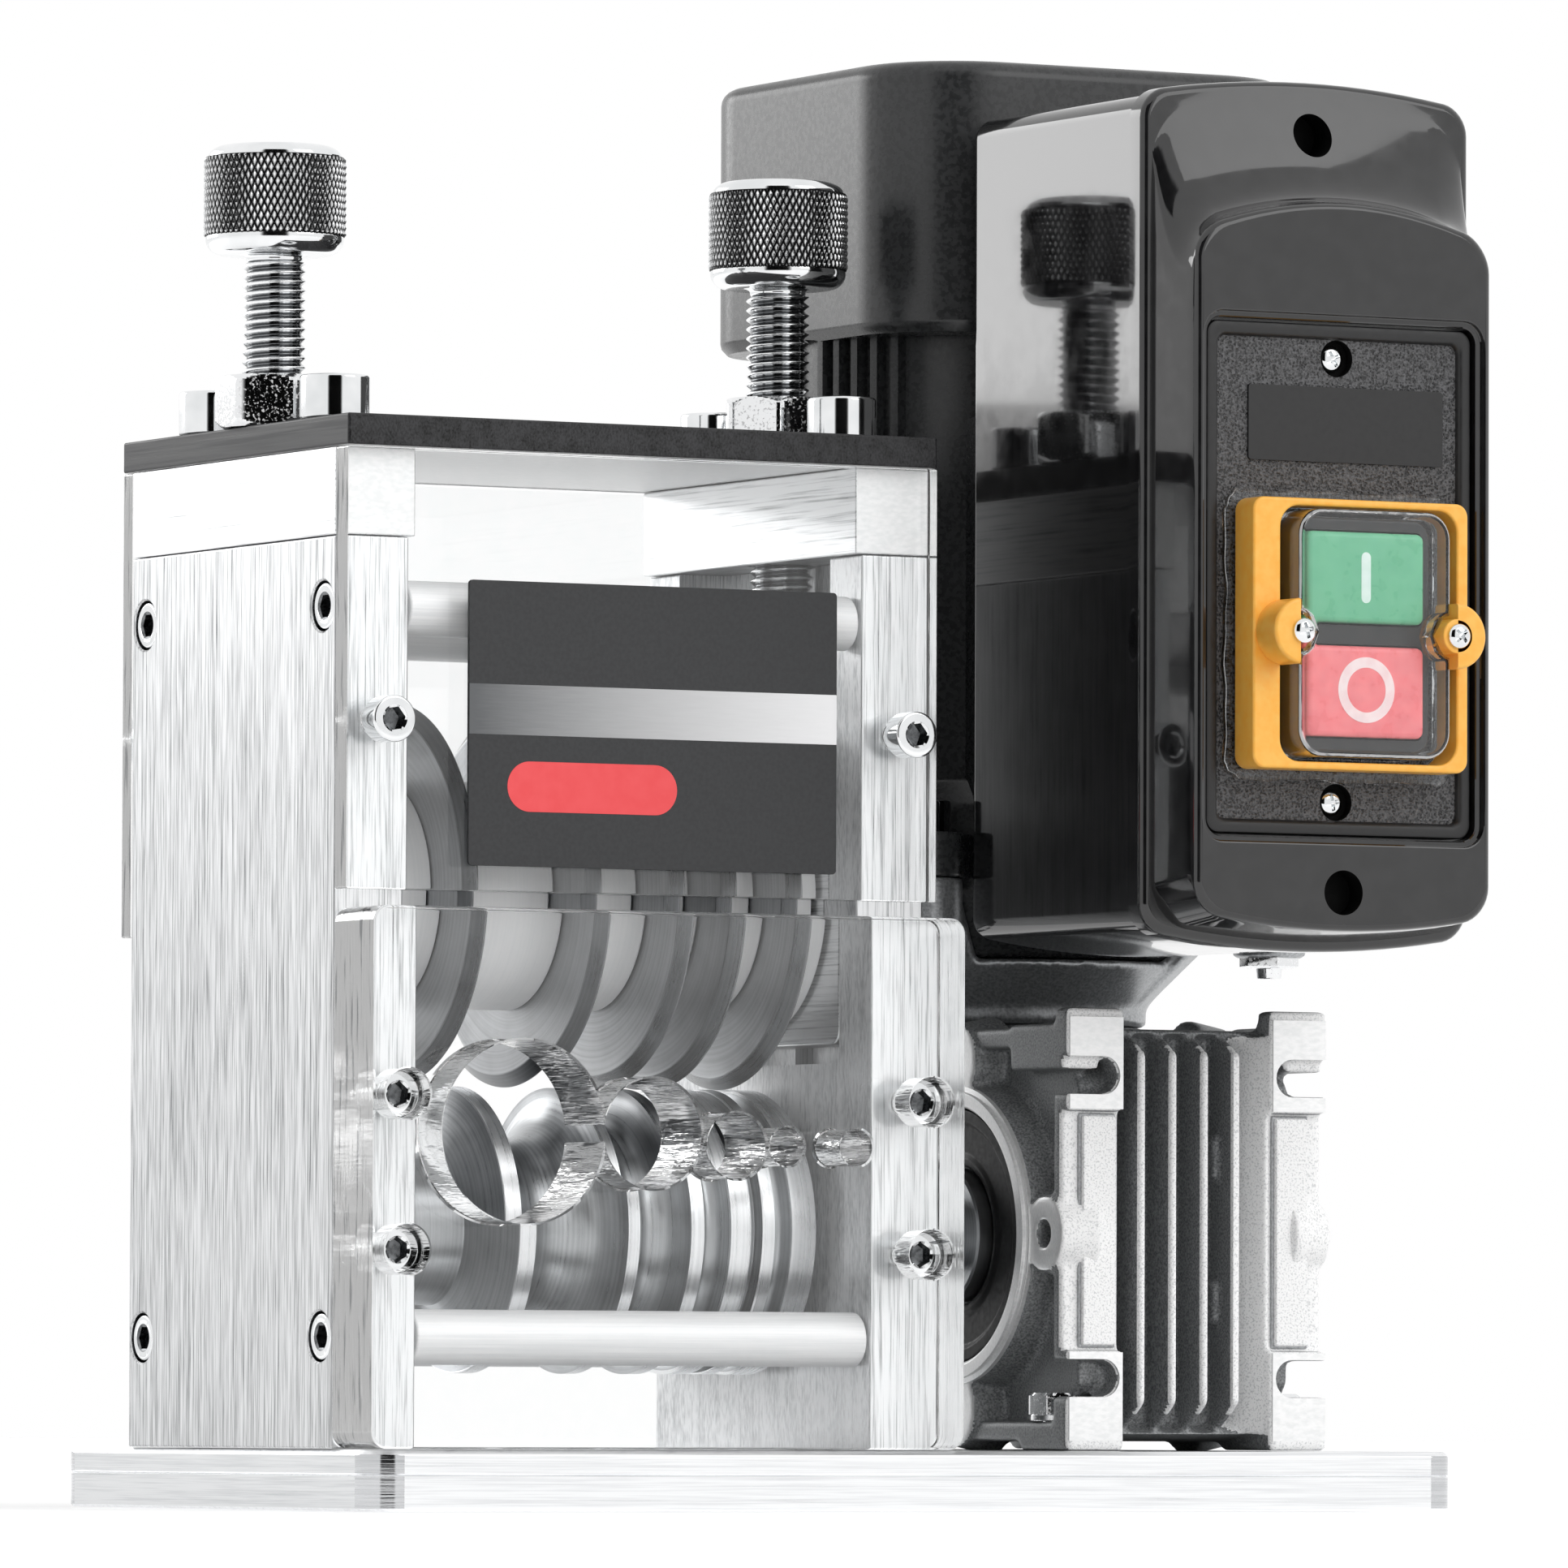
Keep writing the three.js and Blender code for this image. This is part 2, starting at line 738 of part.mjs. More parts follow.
function panelScrews() {
  const guardScrew = { ...panelScrew, shankLength: guardThickness + seat * 2 + panelScrewGrip };
  const web = feedBlockThickness - feedBlockCounterboreDepth;
  const blockScrew = { ...panelScrew, shankLength: web + seat * 2 + panelScrewGrip };
  const guardHead = frontFace - seat * 2 - guardThickness - panelScrewHeadHeight;
  const blockHead = frontFace - seat * 2 - web - panelScrewHeadHeight;
  const screws = [];
  for (const side of [-1, 1]) {
    const hand = side < 0 ? "left" : "right";
    const x = side * screwColumn;
    const add = (name, sign, head, z, size) => {
      screws.push(piece(name, socketScrew("y", sign, head, x, z, size), polishedSteel));
    };
    add(`front_guard_screw_${hand}`, 1, guardHead, guardScrewHeight, guardScrew);
    feedBlockScrewHeights.forEach((z, i) => {
      const level = i === 0 ? "low" : "high";
      add(`feed_block_screw_${hand}_${level}`, 1, blockHead, z, blockScrew);
    });
  }
  return screws;
}

function topScrews() {
  const size = {
    headRadius: topScrewHeadRadius,
    headHeight: topScrewHeadHeight,
    shankRadius: topScrewShankRadius,
    shankLength: topPlateThickness + seat * 2 + topScrewGrip,
    socketWidth: topScrewSocketWidth,
  };
  const head = topPlateTop + seat + topScrewHeadHeight;
  const screws = [];
  for (const side of [-1, 1]) {
    for (const end of [-1, 1]) {
      const name = `top_screw_${side < 0 ? "left" : "right"}_${end < 0 ? "front" : "rear"}`;
      const solid = socketScrew("z", -1, head, side * thumbRow, end * topScrewSpread, size);
      screws.push(piece(name, solid, polishedSteel));
    }
  }
  return screws;
}

// Thumb screw: cap, knurled band and rim on a threaded stem that bears on the sliding block.

const bearingBlockTop = cutterHeight + bearingBlockHeight / 2;

function thumbScrew(name, side) {
  const knobBottom = topPlateTop + thumbKnobRise + (side < 0 ? thumbKnobStep : 0);
  const bandBottom = knobBottom + thumbRimHeight;
  const bandTop = bandBottom + thumbKnurlHeight;
  const pairs = [
    [0, bearingBlockTop + seat],
    [thumbThreadRadius - screwEdgeChamfer, bearingBlockTop + seat],
    [thumbThreadRadius, bearingBlockTop + seat + screwEdgeChamfer],
    [thumbThreadRadius, knobBottom - thumbNeckHeight],
    [thumbNeckRadius, knobBottom - thumbNeckHeight],
    [thumbNeckRadius, knobBottom],
    [thumbRimRadius, knobBottom],
    [thumbKnobRadius, bandBottom],
    [thumbKnobRadius, bandTop],
    [thumbCapRadius, bandTop + thumbCapHeight],
    [0, bandTop + thumbCapHeight],
  ];
  return piece(name, turned("z", pairs, side * thumbRow, 0), polishedSteel);
}

function thumbNut(name, side) {
  const from = topPlateTop + seat;
  const to = from + thumbNutHeight;
  const x = side * thumbRow;
  const corner = thumbNutWidth / Math.sqrt(3);
  const flat = thumbNutWidth / 2;
  const dome = [
    [0, from],
    [flat, from],
    [corner + overrun, from + thumbNutChamfer + overrun],
    [corner + overrun, to - thumbNutChamfer - overrun],
    [flat, to],
    [0, to],
  ];
  const turn = side < 0 ? thumbNutTurns.left : thumbNutTurns.right;
  const hexagon = hexBar("z", thumbNutWidth, from, to, 0, 0).rotate([0, 0, turn]).translate([x, 0, 0]);
  const body = hexagon.intersect(turned("z", dome, x, 0));
  const bore = bar("z", thumbThreadRadius + fit, from - overrun, to + overrun, x, 0, mediumSides);
  return piece(name, cut(body, bore), polishedSteel);
}

// Bearing block that slides in the side plate's slot and carries one end of the cutter shaft.

function bearingBlock(name, side) {
  const inner = side * (plateInner + seat);
  const outer = side * (plateInner + seat + bearingBlockThickness);
  const ends = [inner, outer].sort((a, b) => a - b);
  const width = slotWidth - 2 * slidingFit;
  const outline = roundedRectangle(width, bearingBlockHeight, bearingBlockCornerRadius, 0, cutterHeight);
  const radius = boreRadius(cutterJournalRadius, runningFit, mediumSides);
  const bore = bar("x", radius, ends[0] - overrun, ends[1] + overrun, 0, cutterHeight, mediumSides);
  return piece(name, cut(sideSlab(outline, ends[0], ends[1]), bore), aluminium);
}

// Cutter shaft with its left collar, a blade on each lane, and spacers between the blades.

const shaftEnd = plateInner - rollerEndGap;
const bladeLeft = (lane) => laneX(lane) - bladeThickness / 2;
const bladeRight = (lane) => laneX(lane) + bladeThickness / 2;

function cutterShaft() {
  const journalEnd = plateInner + bearingBlockThickness;
  const collarEnd = bladeLeft(lanes[0]) - seat;
  const pairs = [
    [0, -journalEnd],
    [cutterJournalRadius, -journalEnd],
    [cutterJournalRadius, -shaftEnd],
    [spacerRadius, -shaftEnd],
    [spacerRadius, collarEnd],
    [cutterShaftRadius, collarEnd],
    [cutterShaftRadius, shaftEnd],
    [cutterJournalRadius, shaftEnd],
    [cutterJournalRadius, journalEnd],
    [0, journalEnd],
  ];
  return piece("cutter_shaft", turned("x", pairs, 0, cutterHeight), turnedSteel);
}

function blade(lane, number) {
  const left = bladeLeft(lane);
  const right = bladeRight(lane);
  const bore = boreRadius(cutterShaftRadius, runningFit, largeSides);
  const pairs = [
    [bore, left],
    [bladeRadius - bladeBevelDepth, left],
    [bladeRadius, left + bladeBevelWidth],
    [bladeRadius, right],
    [bore, right],
    [bore, left],
  ];
  return piece(`blade_${number}`, turned("x", pairs, 0, cutterHeight, largeSides), turnedSteel);
}

function spacerRing(name, from, to, radius, material) {
  const bore = boreRadius(cutterShaftRadius, runningFit, mediumSides);
  const pairs = [
    [bore, from],
    [radius - spacerEdgeChamfer, from],
    [radius, from + spacerEdgeChamfer],
    [radius, to - spacerEdgeChamfer],
    [radius - spacerEdgeChamfer, to],
    [bore, to],
    [bore, from],
  ];
  return piece(name, turned("x", pairs, 0, cutterHeight, mediumSides), material);
}

function cutterStack() {
  const stack = [];
  lanes.forEach((lane, i) => {
    stack.push(blade(lane, i + 1));
    if (i + 1 < lanes.length) {
      const from = bladeRight(lane) + seat;
      const to = bladeLeft(lanes[i + 1]) - seat;
      stack.push(spacerRing(`spacer_${i + 1}`, from, to, spacerRadius, turnedSteel));
    }
  });
  return stack;
}

function clampCollar() {
  const from = bladeRight(lanes[lanes.length - 1]) + seat;
  const bore = boreRadius(cutterShaftRadius, runningFit, mediumSides);
  const pairs = [
    [bore, from],
    [collarLipRadius, from],
    [collarLipRadius, from + collarLipWidth],
    [collarRadius, from + collarLipWidth],
    [collarRadius, shaftEnd],
    [bore, shaftEnd],
    [bore, from],
  ];
  return piece("clamp_collar", turned("x", pairs, 0, cutterHeight, mediumSides), turnedSteel);
}

// Drive roller: hub and tapered wall of the widest lane, then a rounded groove under each blade.

function grooveProfile(lane) {
  const steps = lane.grooveDepth > rollerHubWidth ? 5 : 3;
  const points = [];
  for (let i = 0; i <= steps; i++) {
    const turn = (Math.PI * i) / steps;
    const x = laneX(lane) - (Math.cos(turn) * lane.grooveWidth) / 2;
    points.push([rollerRadius - Math.sin(turn) * lane.grooveDepth, x]);
  }
  return points;
}

function driveRoller() {
  const [wide, ...narrow] = lanes;
  const floor = rollerRadius - wide.grooveDepth;
  const wallTop = rollerFirstLandFromLeft - half;
  const relief = reliefGrooveFromLeft - half;
  const journalLeft = -plateInner - slotDepth + seat;
  const shaftRight = gearboxX - frameX + gearboxHalfWidth;
  const grooves = narrow.slice(0, -1).flatMap(grooveProfile);
  const pairs = [
    [0, journalLeft],
    [rollerJournalRadius, journalLeft],
    [rollerJournalRadius, -shaftEnd],
    [rollerHubRadius, -shaftEnd],
    [rollerHubRadius, -shaftEnd + rollerHubWidth],
    [floor, -shaftEnd + rollerHubWidth],
    [floor, wallTop - rollerWallWidth],
    [rollerRadius, wallTop],
    ...grooves,
    [rollerRadius, relief - reliefGrooveWidth / 2],
    [rollerRadius - reliefGrooveDepth, relief - reliefGrooveWidth / 2],
    [rollerRadius - reliefGrooveDepth, relief + reliefGrooveWidth / 2],
    [rollerRadius, relief + reliefGrooveWidth / 2],
    ...grooveProfile(narrow[narrow.length - 1]),
    [rollerRadius, shaftEnd - rollerRightStepWidth],
    [rollerRightStepRadius, shaftEnd - rollerRightStepWidth],
    [rollerRightStepRadius, shaftEnd],
    [rollerJournalRadius, shaftEnd],
    [rollerJournalRadius, half + seat],
    [rollerShaftRadius, half + seat],
    [rollerShaftRadius, shaftRight],
    [0, shaftRight],
  ];
  return piece("drive_roller", turned("x", pairs, 0, rollerHeight, largeSides), turnedSteel);
}

// Gearbox, with its own origin on the output axis in the middle of its width

function corePoints(grow) {
  const h = gearboxHalfHeight - grow;
  const front = -gearboxHalfHeight + padDepth;
  const back = wormOffset;
  const c = gearboxCoreCorner;
  const shape = new THREE.Shape();
  shape.moveTo(front, -h + c);
  shape.lineTo(front + c, -h);
  shape.lineTo(back, -h);
  shape.lineTo(back, h);
  shape.lineTo(front + c, h);
  shape.lineTo(front, h - c);
  shape.closePath();
  return shape;
}

// Front and bottom foot pads at one side, each with two U-slots that open outwards.

function footPads(side) {
  const outer = side * gearboxHalfWidth;
  const inner = side * (gearboxHalfWidth - padWidth);
  const x = [outer, inner].sort((a, b) => a - b);
  const h = gearboxHalfHeight;
  const ribInner = side * (gearboxHalfWidth - columnRibWidth);
  const rib = [side * (gearboxHalfWidth - columnRecess), ribInner].sort((a, b) => a - b);
  const rear = gearboxRearReach;
  return joined(
    block(x[0], x[1], -h, -h + padDepth, h - padTopHeight, h),
    block(x[0], x[1], -h, -h + padDepth, -h, -h + padBottomHeight),
    block(x[0], x[1], -h + columnRecess, -h + padDepth, -h, h),
    block(rib[0], rib[1], -h + columnRecess / 2, -h + padDepth, -h, h),
    block(x[0], x[1], -h, -h + padBottomHeight, -h, -h + padDepth),
    block(x[0], x[1], rear - padTopHeight, rear, -h, -h + padDepth),
    block(x[0], x[1], -h, rear, -h + columnRecess, -h + padDepth),
    block(x[0], x[1], -h, rear - padBottomHeight, h - padDepth, h - columnRecess),
  );
}

// The U-slots of one side's pads, and room for the bolt in the front foot slot.
function padCuts(side) {
  const h = gearboxHalfHeight;
  const r = padSlotWidth / 2;
  const end = side * (gearboxHalfWidth - padSlotReach + r);
  const slot = [end, side * (gearboxHalfWidth + overrun)].sort((a, b) => a - b);
  const from = -h - overrun;
  const to = -h + padDepth + overrun;
  const frontSlots = [-padSlotLowHeight, padSlotHighHeight].flatMap((z) => [
    block(slot[0], slot[1], from, to, z - r, z + r),
    bar("y", r, from, to, end, z),
  ]);
  const footSlots = footRows.flatMap((y) => [
    block(slot[0], slot[1], y - r, y + r, from, to),
    bar("z", r, from, to, end, y),
  ]);
  const room = boreRadius(footWasherRadius, 2 * fit, smallSides);
  const floor = -h + padDepth;
  const x = side * (gearboxHalfWidth - footBoltInset);
  return [...frontSlots, ...footSlots, bar("z", room, floor, floor + footPocketHeight, x, footRows[0])];
}

const footRows = [-padSlotFront, gearboxRearReach - padTopHeight / 2];

// Hex bolt with washer in a bottom U-slot.

function footBolt(side, y) {
  const x = side * (gearboxHalfWidth - footBoltInset);
  const washer = -gearboxHalfHeight + padDepth + seat;
  const head = washer + footWasherThickness;
  const shank = padSlotWidth / 2 - fit;
  return joined(
    bar("z", footWasherRadius, washer, head, x, y),
    hexBar("z", footBoltHeadWidth, head, head + footBoltHeadHeight, x, y),
    bar("z", shank, -gearboxHalfHeight, washer + seat, x, y),
  );
}

function gearboxHousing() {
  const w = gearboxCoreHalfWidth;
  const h = gearboxHalfHeight;
  let body = joined(
    sideSlab(corePoints(columnRecess), -w, w),
    bar("z", wormHousingRadius, -h + columnRecess, h, 0, wormOffset, largeSides),
    footPads(-1),
    footPads(1),
  );
  const finTop = h * finHeightShare;
  const finFront = -h + finRecess;
  const finBack = -h + padDepth + overrun;
  for (let i = 0; i < finCount; i++) {
    const x = (i - (finCount - 1) / 2) * finPitch - finThickness;
    const fin = new THREE.Shape();
    fin.moveTo(finBack, -h + columnRecess);
    fin.lineTo(finFront, -finTop);
    fin.lineTo(finFront, finTop);
    fin.lineTo(finBack, h - columnRecess);
    fin.closePath();
    body = joined(body, sideSlab(fin, x - finThickness / 2, x + finThickness / 2));
  }
  for (const side of [-1, 1]) {
    const face = gearboxHalfWidth + outputRingProud;
    const ring = [side * (w - overrun), side * face].sort((a, b) => a - b);
    const lug = [side * (w - overrun), side * (face - outputRingProud / 2)].sort((a, b) => a - b);
    body = joined(body, bar("x", outputRingRadius, ring[0], ring[1], 0, 0, largeSides));
    for (let i = 0; i < 4 && side < 0; i++) {
      const y = Math.cos((i * Math.PI) / 2) * lugPitchRadius;
      const z = Math.sin((i * Math.PI) / 2) * lugPitchRadius;
      const hole = [side * (face - lugHoleDepth), side * (face + overrun)].sort((a, b) => a - b);
      body = cut(
        joined(body, bar("x", lugRadius, lug[0], lug[1], y, z)),
        bar("x", lugHoleRadius, hole[0], hole[1], y, z, smallSides),
      );
    }
    const pocket = [side * (face - sealDepth), side * (face + overrun)].sort((a, b) => a - b);
    body = cut(body, bar("x", outputRingRadius - outputRingWall, pocket[0], pocket[1], 0, 0, largeSides));
  }
  body = cut(body, ...padCuts(-1), ...padCuts(1));
  const through = gearboxHalfWidth + outputRingProud + overrun;
  const sleeveRoom = boreRadius(sleeveRadius, runningFit, largeSides);
  body = cut(body, bar("x", sleeveRoom, -through, through, 0, 0, largeSides));
  return piece("gearbox_housing", body, castAluminium);
}

function footBolts() {
  return [-1, 1].map((side) => {
    const hand = side < 0 ? "left" : "right";
    return piece(`gearbox_foot_bolt_${hand}`, footBolt(side, footRows[0]), polishedSteel);
  });
}

function outputSeal(name, side) {
  const face = gearboxHalfWidth + outputRingProud;
  const outer = outputRingRadius - outputRingWall - fit;
  const inner = sleeveRadius + sealLipGap;
  const back = face - sealDepth + seat;
  const front = face - sealDepth / 3;
  const pairs = [
    [inner, side * back],
    [outer, side * back],
    [outer, side * front],
    [outer - sealDepth, side * front],
    [outer - sealDepth, side * (front - sealDepth / 6)],
    [inner, side * (front - sealDepth / 6)],
    [inner, side * back],
  ];
  return piece(name, turned("x", pairs, 0, 0, mediumSides), sealRubber);
}

function outputSleeve() {
  const end = gearboxHalfWidth + outputRingProud + sleeveProud;
  const bore = boreRadius(rollerShaftRadius, runningFit, largeSides);
  const pairs = [
    [bore, -end],
    [sleeveRadius, -end],
    [sleeveRadius, end],
    [bore, end],
    [bore, -end],
  ];
  return piece("output_sleeve", turned("x", pairs, 0, 0, largeSides), turnedSteel);
}

// Input flange: neck and bowl with four arms to the ears that carry the motor.
// Heights are measured from the top of the gearbox housing.

function earPlaces() {
  const places = [];
  for (let i = 0; i < 4; i++) {
    const turn = Math.PI / 4 + (i * Math.PI) / 2;
    places.push({ turn, x: Math.cos(turn) * earPitchRadius, y: Math.sin(turn) * earPitchRadius });
  }
  return places;
}

function inputFlange() {
  const profile = [
    [0, seat],
    [neckRadius, seat],
    [neckRadius, neckHeight],
    [bowlRadius, bowlHeight],
    [0, bowlHeight],
  ];
  let body = turned("z", profile, 0, 0, largeSides);
  for (const { turn, x, y } of earPlaces()) {
    const arm = new THREE.Shape();
    arm.moveTo(0, neckHeight);
    arm.lineTo(bowlRadius, neckHeight);
    arm.quadraticCurveTo(earPitchRadius - earRadius, neckHeight, earPitchRadius, earBottomHeight);
    arm.lineTo(earPitchRadius, earTopHeight);
    arm.lineTo(earPitchRadius - earRadius, earTopHeight);
    arm.quadraticCurveTo(earPitchRadius - earRadius - armRise, bowlHeight, bowlRadius, bowlHeight);
    arm.lineTo(0, bowlHeight);
    arm.closePath();
    const options = { depth: armWidth, bevelEnabled: false, curveSegments: arcSteps };
    const geometry = new THREE.ExtrudeGeometry(arm, options).rotateX(Math.PI / 2);
    const web = solidOf(geometry.translate(0, armWidth / 2, 0).rotateZ(turn));
    body = joined(body, web, bar("z", earRadius, earBottomHeight, earTopHeight, x, y));
    body = joined(
      body,
      hexBar("z", earNutWidth, earBottomHeight - earNutHeight, earBottomHeight, x, y),
      bar("z", earStudRadius, earBottomHeight - earNutHeight - earStudHeight, earBottomHeight, x, y),
    );
  }
  const shieldPocket = bar(
    "z",
    endShieldRadius + fit,
    bowlHeight,
    earTopHeight + overrun,
    0,
    0,
    largeSides,
  );
  return piece("input_flange", cut(body, shieldPocket), castAluminium);
}

// Motor: end shield with ears and their screws, ribbed shell and pad for the control box.

function motorBody() {
  const shieldBottom = bowlHeight + seat;
  const earBottom = earTopHeight + seat;
  const shieldTop = earBottom + motorEarHeight;
  const profile = [
    [0, shieldBottom],
    [endShieldRadius - endShieldDrop, shieldBottom],
    [endShieldRadius, shieldBottom + endShieldDrop],
    [endShieldRadius, shieldTop + endShieldHeight / 4],
    [motorRadius, shieldTop + endShieldHeight / 2],
    [motorRadius, motorTop],
    [0, motorTop],
  ];
  let body = turned("z", profile, 0, 0, largeSides);
  for (const { x, y } of earPlaces()) {
    const reach = Math.hypot(x, y);
    const link = block(0, reach, -earRadius, earRadius, earBottom, shieldTop);
    const turn = (Math.atan2(y, x) * 180) / Math.PI;
    body = joined(
      body,
      link.rotate([0, 0, turn]),
      bar("z", earRadius, earBottom, shieldTop, x, y),
      bar("z", earScrewRadius, shieldTop, shieldTop + earScrewHeight, x, y),
    );
  }
  const ribBottom = shieldTop + endShieldHeight / 2;
  for (const angle of ribAngles.flatMap((a) => [a, -a, 180 - a, a - 180])) {
    const rib = block(
      0,
      motorRadius + ribHeight,
      -ribWidth / 2,
      ribWidth / 2,
      ribBottom,
      motorTop - overrun,
    );
    body = joined(body, rib.rotate([0, 0, angle - 90]));
  }
  const padFront = boxBackY + seat - motorY;
  const padBottom = terminalPadBottomHeight - gearboxTopHeight;
  body = joined(
    body,
    block(
      -terminalPadWidth / 2,
      terminalPadWidth / 2,
      padFront,
      0,
      padBottom,
      padBottom + terminalPadHeight,
    ),
  );
  return piece("motor_body", body, motorBlack);
}

function fanCover() {
  const bottom = motorTop - fanCoverOverlap;
  const top = motorTop + fanCoverHeight - fanCoverOverlap;
  const outline = (inset, z) => ({
    points: roundedRectangle(
      2 * (fanCoverHalfWidth - inset),
      2 * (fanCoverHalfWidth - inset),
      fanCoverCornerRadius - inset,
    ).getPoints(arcSteps * 2),
    y: -z,
  });
  const step = fanCoverEdgeRadius * (1 - Math.SQRT1_2);
  const body = lyingLoft([
    outline(fanCoverLip / 2, bottom),
    outline(0, bottom + fanCoverLip / 2),
    outline(0, top - fanCoverEdgeRadius),
    outline(step, top - step),
    outline(fanCoverEdgeRadius, top),
  ]);
  const room = boreRadius(motorRadius + ribHeight, fit, largeSides);
  const socket = bar("z", room, bottom - overrun, motorTop + seat, 0, 0, largeSides);
  return piece("fan_cover", cut(body, socket), motorBlack);
}

// Control box, with its own origin at the bottom centre of its back

// The box outline seen from the front: straight sides, rounded corners, arched top and bottom.
function boxOutline(inset, bottom, top, arch, radius, width = boxWidth) {
  const side = width / 2 - inset;
  const low = bottom + inset;
  const high = top - inset;
  const r = radius - Math.min(inset, radius / 2);
  const shape = new THREE.Shape();
  shape.moveTo(side, low + r);
  shape.lineTo(side, high - r);
  shape.quadraticCurveTo(side, high, side - r, high);
  shape.quadraticCurveTo(0, high + 2 * arch, -side + r, high);
  shape.quadraticCurveTo(-side, high, -side, high - r);
  shape.lineTo(-side, low + r);
  shape.quadraticCurveTo(-side, low, -side + r, low);
  shape.quadraticCurveTo(0, low - 2 * arch, side - r, low);
  shape.quadraticCurveTo(side, low, side, low + r);
  return shape.getPoints(arcSteps + 2);
}

const coverBack = -boxBodyDepth - seat;
const coverFront = coverBack - coverDepth;
const panelFront = coverFront - panelRaise;
const recessFloor = panelFront + recessDepth;
const recessMiddle = recessBottomHeight + recessHeight / 2;
const switchPlateFront = recessFloor - seat - switchPlateThickness + switchPlateLip;

function controlBoxBody() {
  const outline = (inset, y) => ({
    points: boxOutline(inset, 0, boxHeight, boxArch, boxCornerRadius),
    y,
  });
  const body = loft([
    outline(coverEdgeRadius, 0),
    outline(coverJointStep, -coverEdgeRadius),
    outline(coverJointStep, -boxBodyDepth),
  ]);
  const hollow = coverWell(-boxBodyDepth - overrun, -boxBodyDepth + stemReach);
  return piece("control_box_body", cut(body, hollow), boxBlack);
}

const stemReach = buttonStemLength;

// The space behind the switch plate that the button stems move in.
function coverWell(front, back) {
  const width = buttonStemRadius * 4;
  const height = buttonSpread + buttonStemRadius * 4;
  const outline = roundedRectangle(width, height, buttonStemRadius, 0, switchCentreHeight);
  return frontSlab(outline, front, back);
}

function controlBoxCover() {
  const outline = (inset, y) => ({
    points: boxOutline(inset, 0, boxHeight, boxArch, boxCornerRadius),
    y,
  });
  const shell = loft([
    outline(0, coverBack),
    outline(0, coverFront + coverEdgeRadius),
    outline(coverEdgeRadius, coverFront),
  ]);
  const panel = (inset, top, y) => ({
    points: boxOutline(inset, 0, top, panelArch, panelCornerRadius),
    y,
  });
  const raised = loft([
    panel(coverEdgeRadius, panelTopHeight + panelRamp, coverFront + seat),
    panel(panelDraft / 2, panelTopHeight + panelRamp / 4, coverFront - panelRaise / 2),
    panel(panelDraft, panelTopHeight, panelFront + coverEdgeRadius),
    panel(panelDraft + coverEdgeRadius, panelTopHeight, panelFront),
  ]);
  const recess = roundedRectangle(recessWidth, recessHeight, recessCornerRadius, 0, recessMiddle);
  const highHole = [coverFront - overrun, coverBack - overrun];
  const lowHole = [panelFront - overrun, panelFront + coverScrewHoleDepth];
  const body = cut(
    joined(shell, raised),
    frontSlab(recess, panelFront - overrun, recessFloor),
    bar("y", coverScrewHoleRadius, highHole[0], highHole[1], 0, coverScrewHighHeight),
    bar("y", coverScrewHoleRadius, lowHole[0], lowHole[1], 0, coverScrewLowHeight + coverScrewHoleRadius / 2),
    coverWell(recessFloor - overrun, coverBack + overrun),
  );
  return piece("control_box_cover", body, boxBlack);
}

// Switch plate: a raised rim, stem holes and two screws.

const buttonRows = [
  { name: "start_button", z: switchCentreHeight + buttonSpread / 2, material: startGreen },
  { name: "stop_button", z: switchCentreHeight - buttonSpread / 2, material: stopRed },
];

function switchPlate() {
  const back = recessFloor - seat;
  const front = back - switchPlateThickness;
  const width = recessWidth - 2 * switchPlateGap;
  const height = recessHeight - 2 * switchPlateGap;
  const radius = recessCornerRadius - switchPlateGap;
  const outline = roundedRectangle(width, height, radius, 0, recessMiddle);
  const field = roundedRectangle(
    width - 2 * switchPlateLipWidth,
    height - 2 * switchPlateLipWidth,
    radius,
    0,
    recessMiddle,
  );
  let body = cut(
    frontSlab(outline, front, back),
    frontSlab(field, front - overrun, switchPlateFront),
  );
  for (const row of buttonRows) {
    body = cut(body, bar("y", buttonStemRadius + fit, front - overrun, back + overrun, 0, row.z));
  }
  for (const end of [-1, 1]) {
    const z = recessMiddle + end * plateScrewSpread;
    const head = switchPlateFront - plateScrewHeight;
    body = joined(body, bar("y", plateScrewRadius, head, back, 0, z));
  }
  return piece("switch_plate", body, plateBlack);
}

const gasketBack = switchPlateFront - seat;
const gasketFront = gasketBack - gasketThickness;
const guardBack = gasketFront - seat;
const guardFront = guardBack - guardFrameDepth;

function switchGasket() {
  const outline = roundedRectangle(
    gasketWidth,
    gasketHeight,
    gasketCornerRadius,
    0,
    switchCentreHeight,
  );
  const window = guardWindow(gasketFront - overrun, gasketBack + overrun);
  return piece("switch_gasket", cut(frontSlab(outline, gasketFront, gasketBack), window), clearPlastic);
}

